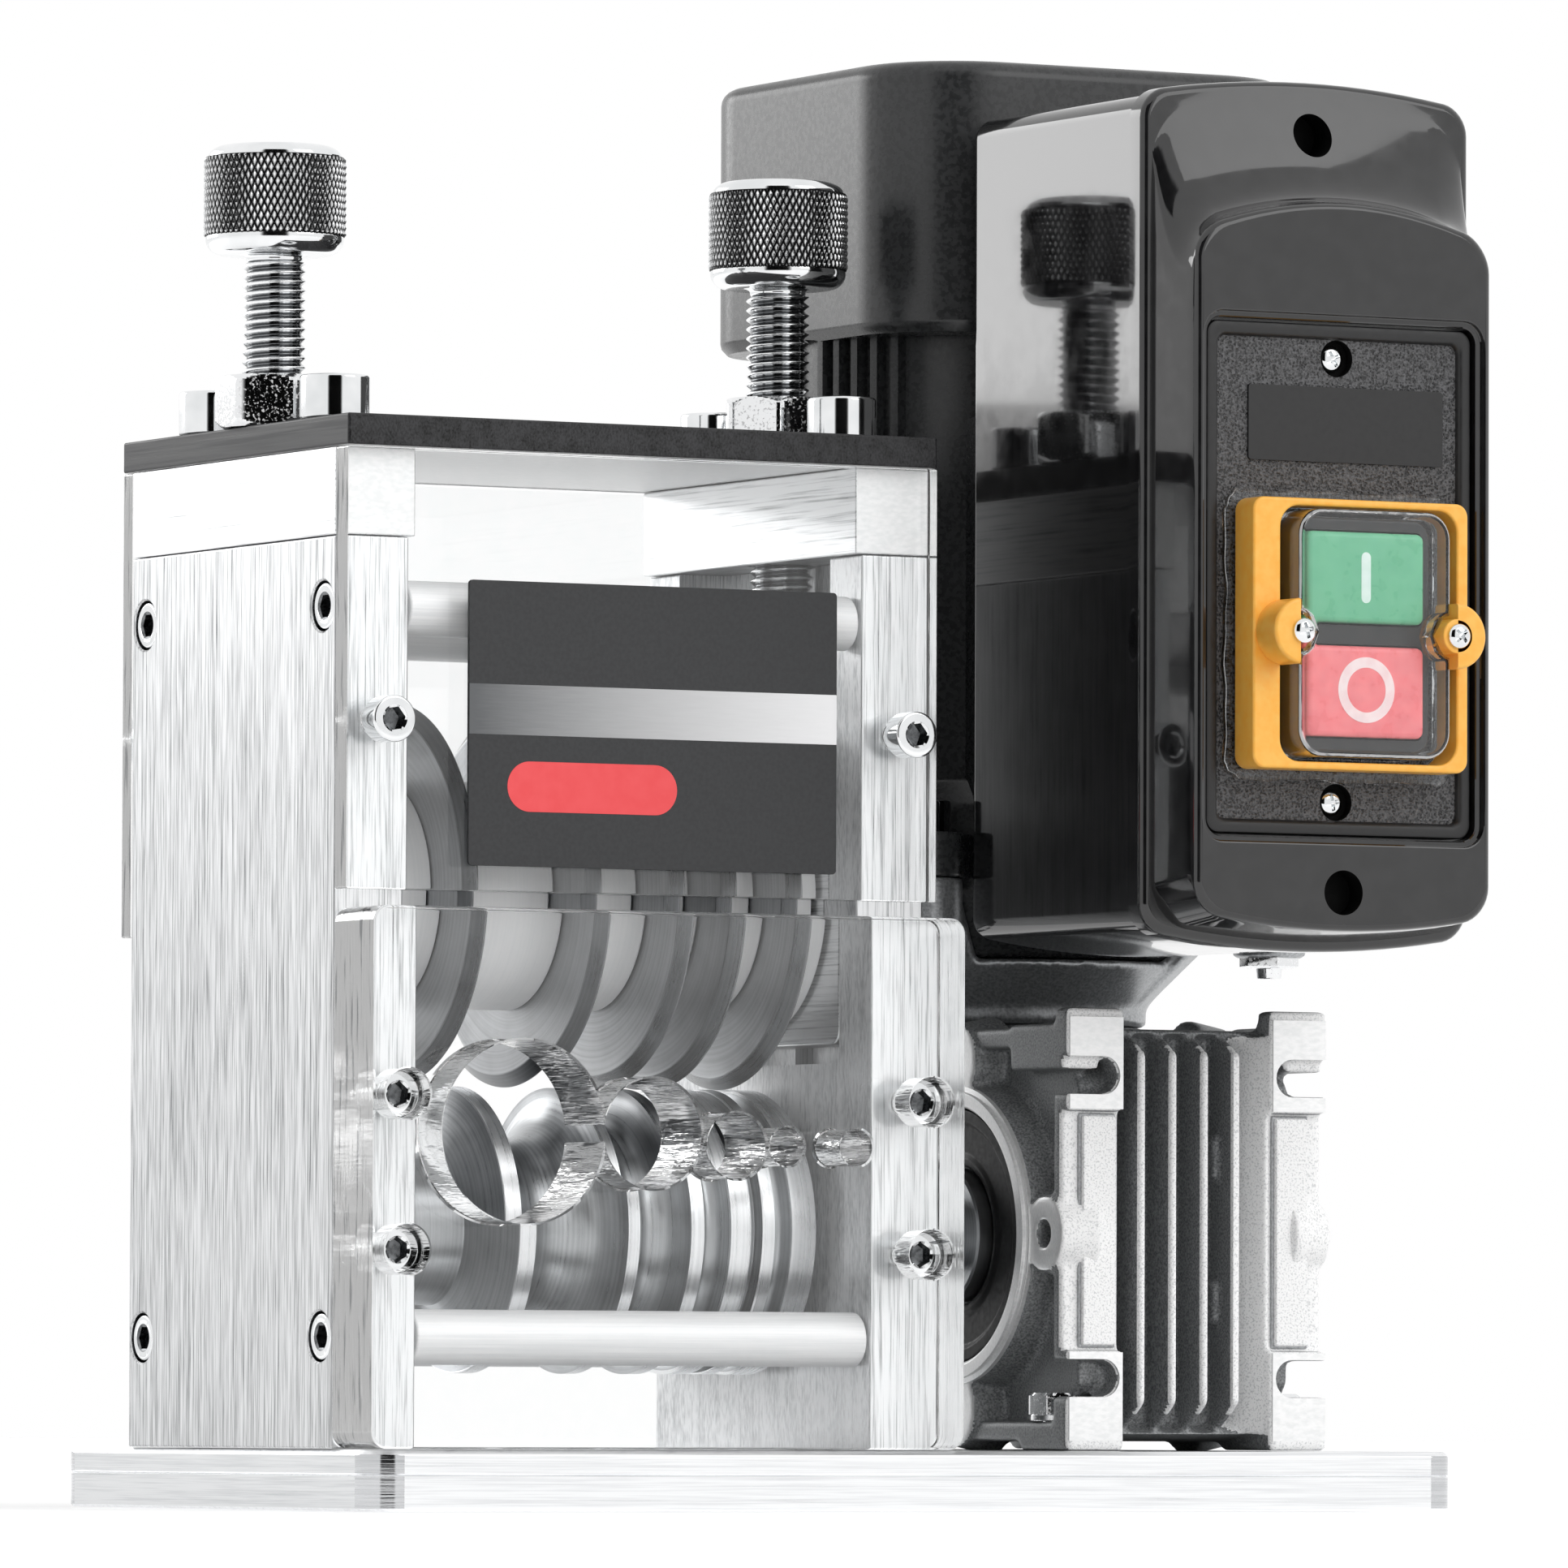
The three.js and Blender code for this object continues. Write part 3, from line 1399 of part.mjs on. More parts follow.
// Guard frame with two ears in front, each carrying a screw head. The right ear reaches over the
// window with a boss that the clear cover is notched around.
function switchGuard() {
  const frameShape = roundedRectangle(
    guardFrameWidth,
    guardFrameHeight,
    guardFrameCornerRadius,
    0,
    switchCentreHeight,
  );
  const window = guardWindow(guardFront - overrun, guardBack + overrun);
  const face = guardFront - guardEarDepth;
  const root = guardFront + guardEarRoot;
  const ear = (side) => {
    const x = side * guardEarSpread;
    return bar("y", guardEarRadius, face, root, x, switchCentreHeight, mediumSides);
  };
  const screw = (side) => {
    const x = side * guardEarSpread;
    return bar("y", guardEarScrewRadius, face - guardEarScrewHeight, face + seat, x, switchCentreHeight);
  };
  const deep = guardWindow(face - overrun, guardBack + overrun);
  const left = cut(ear(-1), deep);
  const right = cut(ear(1), coverShape(fit, face - overrun, root + overrun));
  const boss = bar(
    "y",
    guardBossRadius,
    face,
    face + guardBossDepth,
    guardEarSpread,
    switchCentreHeight,
  );
  const body = joined(
    cut(frontSlab(frameShape, guardFront, guardBack), window),
    left,
    right,
    boss,
    screw(-1),
    screw(1),
  );
  return piece("switch_guard", body, guardOrange);
}

function guardWindow(front, back) {
  const shape = roundedRectangle(
    guardWindowWidth,
    guardWindowHeight,
    guardWindowCornerRadius,
    guardWindowShift,
    switchCentreHeight,
  );
  return frontSlab(shape, front, back);
}

// The clear cover's outline, grown or shrunk all round.
function coverShape(grow, front, back) {
  const shape = roundedRectangle(
    coverWidth + 2 * grow,
    coverHeight + 2 * grow,
    coverCornerRadius + grow,
    0,
    switchCentreHeight,
  );
  return frontSlab(shape, front, back);
}

// Black housing around the buttons, with one window for each.
function switchHousing() {
  const outline = roundedRectangle(
    switchHousingWidth,
    switchHousingHeight,
    switchHousingCornerRadius,
    0,
    switchCentreHeight,
  );
  const back = gasketBack;
  const front = back - switchHousingDepth;
  let body = frontSlab(outline, front, back);
  for (const row of buttonRows) {
    const window = roundedRectangle(
      buttonWidth + 2 * buttonGap,
      buttonHeight + 2 * buttonGap,
      buttonCornerRadius,
      0,
      row.z,
    );
    body = cut(body, frontSlab(window, front - overrun, back + overrun));
  }
  return piece("switch_housing", body, plateBlack);
}

// Clear hood over the housing, notched in front beside the guard's two ear screws.
function switchCover() {
  const housingFront = gasketBack - switchHousingDepth;
  const shelfBack = housingFront - seat;
  const shelfFront = shelfBack - coverShelf;
  const front = shelfBack - coverRise;
  const back = housingFront + coverSkirt;
  const notches = (radius, from, to) =>
    [-1, 1].map((side) => bar("y", radius, from, to, side * guardEarSpread, switchCentreHeight));
  const outside = cut(
    coverShape(0, front, back),
    ...notches(coverNotchRadius, front - overrun, shelfFront),
  );
  const inside = cut(
    coverShape(-coverWall, front + coverWall, back + overrun),
    ...notches(coverNotchRadius + coverWall, front, shelfBack),
  );
  return piece("switch_cover", cut(outside, inside), clearPlastic);
}

function button(row) {
  const outline = roundedRectangle(buttonWidth, buttonHeight, buttonCornerRadius, 0, row.z);
  const front = gasketBack - switchHousingDepth - buttonProud;
  const back = front + buttonDepth - buttonProud;
  const stem = bar("y", buttonStemRadius, back - seat, back + buttonStemLength, 0, row.z);
  return piece(row.name, joined(frontSlab(outline, front, back), stem), row.material);
}

// Assembly

const frameX = -baseLength / 2 + half;
const gearboxX = frameX + half + gearboxFromPlate;
const frameY = -baseDepth / 2 + feedBlockThickness + seat - frontFace;
const gearboxTopHeight = 2 * gearboxHalfHeight + seat;
const motorY = frameY + wormOffset;
const motorTop = motorTopHeight - gearboxTopHeight;

const frame = groupAt(
  frameX,
  frameY,
  baseThickness,
  sidePlate("left_side_plate", -1),
  sidePlate("right_side_plate", 1),
  endBlock("left_end_block", -1),
  endBlock("right_end_block", 1),
  topPlate(),
  ...tieRods.map(tieRod),
  upperFrontGuard(),
  rearGuard(),
  feedBlock(),
  labelPlate(),
  ...panelScrews(),
  ...topScrews(),
);

const cutter = groupAt(
  frameX,
  frameY,
  baseThickness,
  thumbNut("left_thumb_nut", -1),
  thumbNut("right_thumb_nut", 1),
  thumbScrew("left_thumb_screw", -1),
  thumbScrew("right_thumb_screw", 1),
  bearingBlock("left_bearing_block", -1),
  bearingBlock("right_bearing_block", 1),
  cutterShaft(),
  ...cutterStack(),
  clampCollar(),
  driveRoller(),
);

const gearbox = groupAt(
  gearboxX,
  frameY,
  baseThickness + rollerHeight,
  gearboxHousing(),
  ...footBolts(),
  outputSeal("output_seal_left", -1),
  outputSeal("output_seal_right", 1),
  outputSleeve(),
);

const motor = groupAt(
  gearboxX,
  motorY,
  baseThickness + gearboxTopHeight,
  inputFlange(),
  motorBody(),
  fanCover(),
);

const controlBox = groupAt(
  gearboxX + boxShift,
  boxBackY,
  baseThickness + boxBottomHeight,
  controlBoxBody(),
  controlBoxCover(),
  switchPlate(),
  switchGasket(),
  switchHousing(),
  switchGuard(),
  switchCover(),
  ...buttonRows.map(button),
);

const machine = new THREE.Group();
machine.add(basePlate(), frame, cutter, gearbox, motor, controlBox);

export default machine;
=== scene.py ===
import json
import math
import bpy
import bmesh
import numpy as np
from mathutils import Matrix, Vector


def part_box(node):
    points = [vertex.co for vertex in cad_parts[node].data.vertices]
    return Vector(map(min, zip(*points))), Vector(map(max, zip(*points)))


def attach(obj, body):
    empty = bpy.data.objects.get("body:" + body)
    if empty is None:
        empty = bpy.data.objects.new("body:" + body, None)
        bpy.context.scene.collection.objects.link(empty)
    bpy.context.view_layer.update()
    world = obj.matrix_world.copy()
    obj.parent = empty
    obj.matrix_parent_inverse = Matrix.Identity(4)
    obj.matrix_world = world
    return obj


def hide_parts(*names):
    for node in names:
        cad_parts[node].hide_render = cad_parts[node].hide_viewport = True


# A bench wire stripping machine. Sizes below are millimetres in the frame's own axes.

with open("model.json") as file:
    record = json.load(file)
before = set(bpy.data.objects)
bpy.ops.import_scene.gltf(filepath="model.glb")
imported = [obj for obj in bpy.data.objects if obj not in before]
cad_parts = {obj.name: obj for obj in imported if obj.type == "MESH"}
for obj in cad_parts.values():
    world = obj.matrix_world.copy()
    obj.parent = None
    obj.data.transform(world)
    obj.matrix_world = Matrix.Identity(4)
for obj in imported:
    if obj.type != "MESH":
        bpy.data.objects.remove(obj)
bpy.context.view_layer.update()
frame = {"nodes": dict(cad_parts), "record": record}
print("frame loaded:", len(frame["nodes"]), "nodes")

metre = 0.001
bodyOf = {n: body for body, group in frame["record"]["behaviour"]["bodies"].items() for n in group}


def spanOf(node):
    low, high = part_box(node)
    return np.array(low) / metre, np.array(high) / metre


def frontOf(node):
    # a node's limits, with the middle, width and height of its front
    low, high = spanOf(node)
    return low, high, ((low[0] + high[0]) / 2, (low[2] + high[2]) / 2), high[0] - low[0], high[2] - low[2]


def placed(name, data):
    made = bpy.data.objects.new(name, data)
    bpy.context.scene.collection.objects.link(made)
    return made


# Shape functions

def settled(name, mesh, sharp):
    # doubles merged, faces turned outwards, edges over the sharp angle kept crisp
    work = bmesh.new()
    work.from_mesh(mesh)
    bmesh.ops.remove_doubles(work, verts=work.verts, dist=1e-7)
    if work.calc_volume(signed=True) < 0:
        bmesh.ops.reverse_faces(work, faces=work.faces)
    work.to_mesh(mesh)
    work.free()
    mesh.shade_smooth()
    mesh.set_sharp_from_angle(angle=math.radians(sharp))
    return placed(name, mesh)


def skin(name, loops, closed=False, sharp=35):
    # rows of points with equal counts, joined by quads; the ends are capped unless the rows form a ring
    loops = np.asarray(loops, float)
    rows, around = loops.shape[:2]
    index = np.arange(rows * around).reshape(rows, around)
    low, high = (index, np.roll(index, -1, 0)) if closed else (index[:-1], index[1:])
    quads = np.stack([low, np.roll(low, -1, 1), np.roll(high, -1, 1), high], 2)
    faces = quads.reshape(-1, 4).tolist()
    if not closed:
        faces += [index[0, ::-1].tolist(), index[-1].tolist()]
    mesh = bpy.data.meshes.new(name)
    mesh.from_pydata((loops.reshape(-1, 3) * metre).tolist(), [], faces)
    return settled(name, mesh, sharp)


def standing(loop, at, axis):
    # a flat loop (u, v) set across an axis
    u, v = loop[:, 0], loop[:, 1]
    flat = np.zeros(len(loop)) + at
    return np.stack({"x": (flat, u, v), "y": (u, flat, v), "z": (u, v, flat)}[axis], 1)


def sweep(steps):
    # angles from nothing to a right angle
    return np.linspace(0, math.pi / 2, steps + 1)


def roundedLoop(width, height, radius, centre=(0, 0), arc=6, side=1):
    # corner point = corner centre + radius * (cos a, sin a), the straight sides split evenly
    radius = max(radius, 0.01)
    corners = []
    for quarter, (across, up) in enumerate(((1, 1), (-1, 1), (-1, -1), (1, -1))):
        a = sweep(arc) + quarter * math.pi / 2
        u = across * (width / 2 - radius) + radius * np.cos(a)
        corners.append(np.stack([u, up * (height / 2 - radius) + radius * np.sin(a)], 1))
    share = np.linspace(0, 1, side + 1)[1:-1, None]
    loop = []
    for corner, after in zip(corners, corners[1:] + corners[:1]):
        loop += [corner, corner[-1] + share * (after[0] - corner[-1])]
    return np.concatenate(loop) + np.array(centre)


def edgeRows(low, high, edge, steps):
    # inset = edge * (1 - sin t) and rise = edge * (1 - cos t), a quarter circle at each end
    turn = sweep(steps)
    inset = edge * (1 - np.sin(turn))
    rise = edge * (1 - np.cos(turn))
    return np.concatenate([inset, inset[::-1]]), np.concatenate([low + rise, high - rise[::-1]])


def slab(name, axis, low, high, outline, edge, steps=3):
    # an outline carried along an axis, with rounded edges
    insets, places = edgeRows(low, high, edge, steps)
    return skin(name, [standing(outline(i), p, axis) for i, p in zip(insets, places)])


def windowed(name, axis, low, high, outer, window, edge, steps=3):
    # the outer wall going up and the window's wall coming down form one ring of rows
    insets, places = edgeRows(low, high, edge, steps)
    rows = [standing(outer(i), p, axis) for i, p in zip(insets, places)]
    rows += [standing(window(-i), p, axis) for i, p in zip(insets[::-1], places[::-1])]
    return skin(name, rows, closed=True)


def plate(name, node, axis, corner, edge, arc=4):
    # a rounded slab that fills a node's box
    low, high = spanOf(node)
    along = "xyz".index(axis)
    across = [k for k in range(3) if k != along]
    size, middle = (high - low)[across], (high + low)[across] / 2
    outline = lambda i: roundedLoop(size[0] - 2 * i, size[1] - 2 * i, corner - i, middle, arc)
    return slab(name, axis, low[along], high[along], outline, edge)


def block(name, x, y, z, corner, edge=0.5):
    # a rounded block between pairs of limits
    middle = (sum(y) / 2, sum(z) / 2)
    wide, tall = y[1] - y[0], z[1] - z[0]
    outline = lambda i: roundedLoop(wide - 2 * i, tall - 2 * i, corner - i, middle, 3)
    return slab(name, "x", x[0], x[1], outline, edge, 2)


def turned(name, axis, stations, centre, sides=96, closed=False, turn=0.0, sharp=35):
    # r(a) = the smaller of the station's radius and (flats / 2) / cos(angle from a flat's middle)
    station = np.array([(*s, math.inf)[:3] for s in stations], float)
    a = np.arange(sides) * 2 * math.pi / sides
    hexagon = 1 / np.cos((a - turn) % (math.pi / 3) - math.pi / 6)
    radius = np.minimum(station[:, :1], station[:, 2:] / 2 * hexagon)
    u = centre[0] + radius * np.cos(a)
    v = centre[1] + radius * np.sin(a)
    along = np.broadcast_to(station[:, 1:2], radius.shape)
    order = {"x": (along, u, v), "y": (u, along, v), "z": (u, v, along)}[axis]
    return skin(name, np.stack(order, 2), closed, sharp)


def pipe(axis, low, high, radius, centre, sides=48, inner=0):
    # a plain cylinder, or a pipe when it has an inner radius
    stations = [(inner, low), (radius, low), (radius, high), (inner, high)]
    return turned("tool", axis, stations, centre, sides, inner > 0)


def wrapped(radius, a, z, centre):
    # rows of points round a standing axis, at a radius for each angle and height
    return np.stack([centre[0] + radius * np.cos(a), centre[1] + radius * np.sin(a),
                     np.broadcast_to(z, radius.shape)], 2)


def easedCorner(before, corner, after, size, t):
    # (1 - t)^2 a + 2t(1 - t) c + t^2 b, where a and b lie on the two sides of the corner c
    into, out = before - corner, after - corner
    longIn, longOut = np.linalg.norm(into), np.linalg.norm(out)
    a = corner + into / longIn * min(size, longIn * 0.45)
    b = corner + out / longOut * min(size, longOut * 0.45)
    return (1 - t) ** 2 * a + 2 * t * (1 - t) * corner + t ** 2 * b


def softened(stations, size, steps=3):
    # an open line of stations with its inner corners rounded
    points = np.array(stations, float)
    t = np.linspace(0, 1, steps + 1)[:, None]
    eased = [easedCorner(*three, size, t) for three in zip(points, points[1:], points[2:])]
    return [tuple(p) for p in np.concatenate([points[:1], *eased, points[-1:]])]


def applied(body, spent, sharp):
    # the modifiers' result becomes the mesh, and the tools that shaped it go
    bpy.context.view_layer.update()
    shape = body.evaluated_get(bpy.context.evaluated_depsgraph_get())
    mesh = bpy.data.meshes.new_from_object(shape)
    body.modifiers.clear()
    body.data = mesh
    for tool in spent:
        bpy.data.objects.remove(tool)
    mesh.shade_smooth()
    mesh.set_sharp_from_angle(angle=math.radians(sharp))
    return body


def carved(body, tools, sharp=35):
    for tool in tools:
        cut = body.modifiers.new("cut", "BOOLEAN")
        cut.object = tool
        cut.operation = "DIFFERENCE"
        cut.solver = "EXACT"
    return applied(body, tools, sharp)


def together(name, parts):
    # several shells as one piece, each keeping its own finish
    finishes = []
    work = bmesh.new()
    for part in parts:
        finishes += [f for f in part.data.materials if f not in finishes]
        index = np.array([finishes.index(f) for f in part.data.materials] or [0], np.int32)
        own = np.zeros(len(part.data.polygons), np.int32)
        part.data.polygons.foreach_get("material_index", own)
        part.data.polygons.foreach_set("material_index", index[own])
        work.from_mesh(part.data)
        bpy.data.objects.remove(part)
    mesh = bpy.data.meshes.new(name)
    work.to_mesh(mesh)
    work.free()
    for finish in finishes:
        mesh.materials.append(finish)
    return placed(name, mesh)


def coated(part, finish):
    part.data.materials.clear()
    part.data.materials.append(finish)
    part.data.polygons.foreach_set("material_index", np.zeros(len(part.data.polygons), np.int32))
    return part


def radial(c, axis, centre):
    # how far points lie from a line along an axis
    return np.hypot(*(np.delete(c, "xyz".index(axis), 1) - centre).T)


def faced(piece, finish, choose):
    # a second finish on the faces picked by their middles and normals
    mesh = piece.data
    middle, normal = np.zeros(len(mesh.polygons) * 3), np.zeros(len(mesh.polygons) * 3)
    mesh.polygons.foreach_get("center", middle)
    mesh.polygons.foreach_get("normal", normal)
    index = np.zeros(len(mesh.polygons), np.int32)
    mesh.polygons.foreach_get("material_index", index)
    index[choose(middle.reshape(-1, 3) / metre, normal.reshape(-1, 3))] = len(mesh.materials)
    mesh.materials.append(finish)
    mesh.polygons.foreach_set("material_index", index)
    return piece


def graded(piece, centre, low, high):
    # a point attribute: 0 at the low radius from a standing axis and 1 at the high one
    place = np.zeros(len(piece.data.vertices) * 3)
    piece.data.vertices.foreach_get("co", place)
    radius = radial(place.reshape(-1, 3) / metre, "z", centre)
    share = piece.data.attributes.new("height", "FLOAT", "POINT")
    share.data.foreach_set("value", np.clip((radius - low) / (high - low), 0, 1))
    return piece


def present(piece, finish, *nodes):
    # the piece stands for its nodes and rides on their body
    if finish:
        coated(piece, finish)
    even = piece.modifiers.new("evenShading", "WEIGHTED_NORMAL")
    even.keep_sharp = True
    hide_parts(*nodes)
    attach(piece, bodyOf[nodes[0]])
    return piece


# Finishes

def linear(code):
    # the display value s becomes ((s + 0.055) / 1.055) ^ 2.4
    s = np.array([int(code[i:i + 2], 16) for i in (0, 2, 4)]) / 255
    return (*np.where(s < 0.04045, s / 12.92, ((s + 0.055) / 1.055) ** 2.4), 1.0)


def newFinish(name, colour, roughness, metallic=0.0, constants=None):
    finish = bpy.data.materials.new(name)
    finish.use_nodes = True
    shader = finish.node_tree.nodes["Principled BSDF"]
    shader.inputs["Base Color"].default_value = linear(colour)
    shader.inputs["Roughness"].default_value = roughness
    shader.inputs["Metallic"].default_value = metallic
    for socket, value in (constants or {}).items():
        shader.inputs[socket].default_value = value
    return finish


def mapped(finish, scale, centre=(0, 0, 0)):
    # object coordinates, measured from a centre in millimetres, times a scale per metre
    nodes, links = finish.node_tree.nodes, finish.node_tree.links
    scale = np.broadcast_to(np.array(scale, float), 3)
    where = nodes.new("ShaderNodeTexCoord")
    place = nodes.new("ShaderNodeMapping")
    place.inputs["Scale"].default_value = scale
    place.inputs["Location"].default_value = -np.array(centre) * metre * scale
    links.new(where.outputs["Object"], place.inputs["Vector"])
    return place.outputs["Vector"]


def noiseAt(finish, vector, detail):
    noise = finish.node_tree.nodes.new("ShaderNodeTexNoise")
    noise.inputs["Scale"].default_value = 1.0
    noise.inputs["Detail"].default_value = detail
    finish.node_tree.links.new(vector, noise.inputs["Vector"])
    return noise.outputs["Fac"]


def mixed(finish, first, second, share):
    nodes, links = finish.node_tree.nodes, finish.node_tree.links
    both = nodes.new("ShaderNodeMix")
    both.inputs["Factor"].default_value = share
    links.new(first, both.inputs["A"])
    links.new(second, both.inputs["B"])
    return both.outputs["Result"]


def dressed(finish, source, dark, light, smooth, rough, depth, low=0.35, high=0.65):
    # one pattern drives the colour, the roughness and the relief
    nodes, links = finish.node_tree.nodes, finish.node_tree.links
    shader = nodes["Principled BSDF"]
    tint = nodes.new("ShaderNodeValToRGB")
    for element, place, colour in zip(tint.color_ramp.elements, (low, high), (dark, light)):
        element.position = place
        element.color = linear(colour)
    links.new(source, tint.inputs["Fac"])
    links.new(tint.outputs["Color"], shader.inputs["Base Color"])
    level = nodes.new("ShaderNodeMapRange")
    for socket, value in zip(("From Min", "From Max", "To Min", "To Max"), (low, high, smooth, rough)):
        level.inputs[socket].default_value = value
    links.new(source, level.inputs["Value"])
    links.new(level.outputs["Result"], shader.inputs["Roughness"])
    if depth:
        relief = nodes.new("ShaderNodeBump")
        relief.inputs["Distance"].default_value = depth * metre
        links.new(source, relief.inputs["Height"])
        links.new(relief.outputs["Normal"], shader.inputs["Normal"])
    return finish


def brushed(name, fine, broad, dark, light, metallic, smooth, rough, limits=(0.35, 0.65)):
    # a fine grain with broader streaks under it
    finish = newFinish(name, light, smooth, metallic)
    grain = noiseAt(finish, mapped(finish, fine), 3.0)
    streak = noiseAt(finish, mapped(finish, broad), 2.0)
    return dressed(finish, mixed(finish, grain, streak, 0.4), dark, light, smooth, rough, 0.02, *limits)


def speckled(name, scale, dark, light, smooth, rough, depth, metallic=0.0, constants=None, detail=2.0,
             limits=(0.35, 0.65)):
    finish = newFinish(name, light, smooth, metallic, constants)
    source = noiseAt(finish, mapped(finish, scale), detail)
    return dressed(finish, source, dark, light, smooth, rough, depth, *limits)


def lathed(name, centre, dark, light, smooth, rough, depth, metallic=1.0):
    # rings: noise over (x, distance from the axis), with broad cloudy patches under it
    finish = newFinish(name, light, smooth, metallic)
    nodes, links = finish.node_tree.nodes, finish.node_tree.links
    length = nodes.new("ShaderNodeVectorMath")
    length.operation = "LENGTH"
    links.new(mapped(finish, (0, 1800, 1800), centre), length.inputs[0])
    ring = nodes.new("ShaderNodeCombineXYZ")
    links.new(length.outputs["Value"], ring.inputs["Y"])
    place = nodes.new("ShaderNodeVectorMath")
    links.new(ring.outputs[0], place.inputs[0])
    links.new(mapped(finish, (1800, 0, 0), centre), place.inputs[1])
    rings = noiseAt(finish, place.outputs["Vector"], 3.0)
    cloud = noiseAt(finish, mapped(finish, 160), 3.0)
    return dressed(finish, mixed(finish, rings, cloud, 0.35), dark, light, smooth, rough, depth)


def depthShaded(name, dark, light, smooth, rough):
    # painted shade in the grooves and a painted highlight on the crests, driven by the piece's own height attribute
    finish = newFinish(name, light, smooth, 1.0)
    height = finish.node_tree.nodes.new("ShaderNodeAttribute")
    height.attribute_name = "height"
    speck = noiseAt(finish, mapped(finish, 1500), 3.0)
    source = mixed(finish, height.outputs["Fac"], speck, 0.25)
    return dressed(finish, source, dark, light, rough, smooth, 0, 0.3, 0.75)


def bandFinish(name, start, length, dark, light):
    # a lengthwise gradient under a fine grain
    finish = newFinish(name, light, 0.4, 0.2)
    nodes, links = finish.node_tree.nodes, finish.node_tree.links
    apart = nodes.new("ShaderNodeSeparateXYZ")
    links.new(mapped(finish, (1000 / length, 0, 0), (start, 0, 0)), apart.inputs[0])
    grain = noiseAt(finish, mapped(finish, (200, 3000, 3000)), 2.0)
    return dressed(finish, mixed(finish, apart.outputs["X"], grain, 0.06), dark, light, 0.4, 0.5, 0, 0.05, 0.95)


axisY = -6.45
cutterAxis = (0, axisY, 112.4)
rollerAxis = (0, axisY, 51.15)

upright = ((4200, 4200, 90), (1700, 1700, 20))
uprightGrain = brushed("uprightGrain", *upright, "76787a", "dbdcdd", 1.0, 0.26, 0.36, (0.33, 0.56))
# painted light: a lighter copy of the plates' own grain, for the faces turned to the front
frontLitGrain = brushed("frontLitGrain", *upright, "898b8d", "f0f1f2", 1.0, 0.26, 0.36, (0.3, 0.5))
depthGrain = brushed("depthGrain", (3400, 60, 3000), (1500, 14, 1500), "9b9d9f", "f0f1f2", 1.0, 0.26, 0.36,
                     (0.3, 0.5))
lengthGrain = brushed("lengthGrain", (50, 3400, 3400), (9, 900, 900), "dadbdd", "f2f3f4", 1.0, 0.26, 0.34,
                      (0.3, 0.55))
endGrain = brushed("endGrain", (3000, 50, 3400), (700, 9, 900), "c4c6c8", "dfe0e1", 1.0, 0.26, 0.34, (0.3, 0.55))
cornerGrain = brushed("cornerGrain", (50, 50, 3000), (20, 20, 500), "b9bbbd", "cfd0d2", 1.0, 0.07, 0.1,
                      (0.3, 0.55))
innerGrain = brushed("innerGrain", (1700, 1700, 420), (500, 500, 60), "b9bbbd", "f0f1f2", 0.6, 0.34, 0.46,
                     (0.34, 0.56))
anodised = brushed("anodised", (2600, 36, 1800), (500, 7, 420), "050505", "363638", 0.0, 0.26, 0.5,
                   (0.36, 0.6))
anodised.node_tree.nodes["Principled BSDF"].inputs["Specular IOR Level"].default_value = 0.32
polished = speckled("polished", 160, "e2e4e5", "eff0f1", 0.06, 0.1, 0, 1.0)
speckledSteel = speckled("speckledSteel", 1900, "eaebec", "f6f6f7", 0.05, 0.6, 0.002, 1.0, None, 3.0, (0.55, 0.68))
# painted shade and highlight: knurl and thread steel darken towards the groove floors and lighten on the crests
knurlShadedSteel = depthShaded("knurlShadedSteel", "161617", "f4f5f6", 0.14, 0.34)
threadShadedSteel = depthShaded("threadShadedSteel", "77797b", "f2f3f4", 0.07, 0.14)
# painted shade: darker steel for the insides of sockets and counterbores
socketShade = speckled("socketShade", 1200, "56585a", "7e8082", 0.22, 0.36, 0.002, 1.0)
# painted sheen: the shaft, spacers and collar take a near-white, almost non-metallic colour in place of the steel's
# bright reflection
cutterSteel = lathed("cutterSteel", cutterAxis, "f6f7f8", "ffffff", 0.32, 0.44, 0.003, 0.05)
bladeSteel = lathed("bladeSteel", cutterAxis, "98999b", "b4b6b8", 0.28, 0.4, 0.004)
# painted shade: the bevel and rim take a darker copy of the blade steel
bevelShadeSteel = lathed("bevelShadeSteel", cutterAxis, "6d6e70", "888a8c", 0.24, 0.36, 0.004)
rollerSteel = lathed("rollerSteel", rollerAxis, "949698", "b9bbbd", 0.26, 0.38, 0.004)
# painted highlight: the roller's lands take a lighter copy of its steel, and the grooves keep the darker one
landHighlightSteel = lathed("landHighlightSteel", rollerAxis, "cfd0d2", "eeeff0", 0.24, 0.34, 0.004)
sandCast = speckled("sandCast", 2400, "6a6c6e", "a6a8a9", 0.36, 0.56, 0.07, 0.35, None, 3.0)
# painted light: a lighter, non-metallic copy of the sand casting for the faces the light falls on; sandCast is the
# darker, shaded tone of the same casting
castPaintedLight = speckled("castPaintedLight", 2600, "d9dadb", "ffffff", 0.4, 0.6, 0.05, 0.0, None, 3.0, (0.36, 0.5))
flangeCast = speckled("flangeCast", 1900, "96989a", "bcbec0", 0.28, 0.4, 0.02, 0.7, None, 3.0)
machined = speckled("machined", (700, 3000, 1500), "f0f1f1", "fcfcfc", 0.34, 0.44, 0.002, 0.5)
glass = {"Transmission Weight": 1.0, "IOR": 1.45}
clear = speckled("clear", 300, "fdfefe", "ffffff", 0.01, 0.02, 0, 0.0, glass)
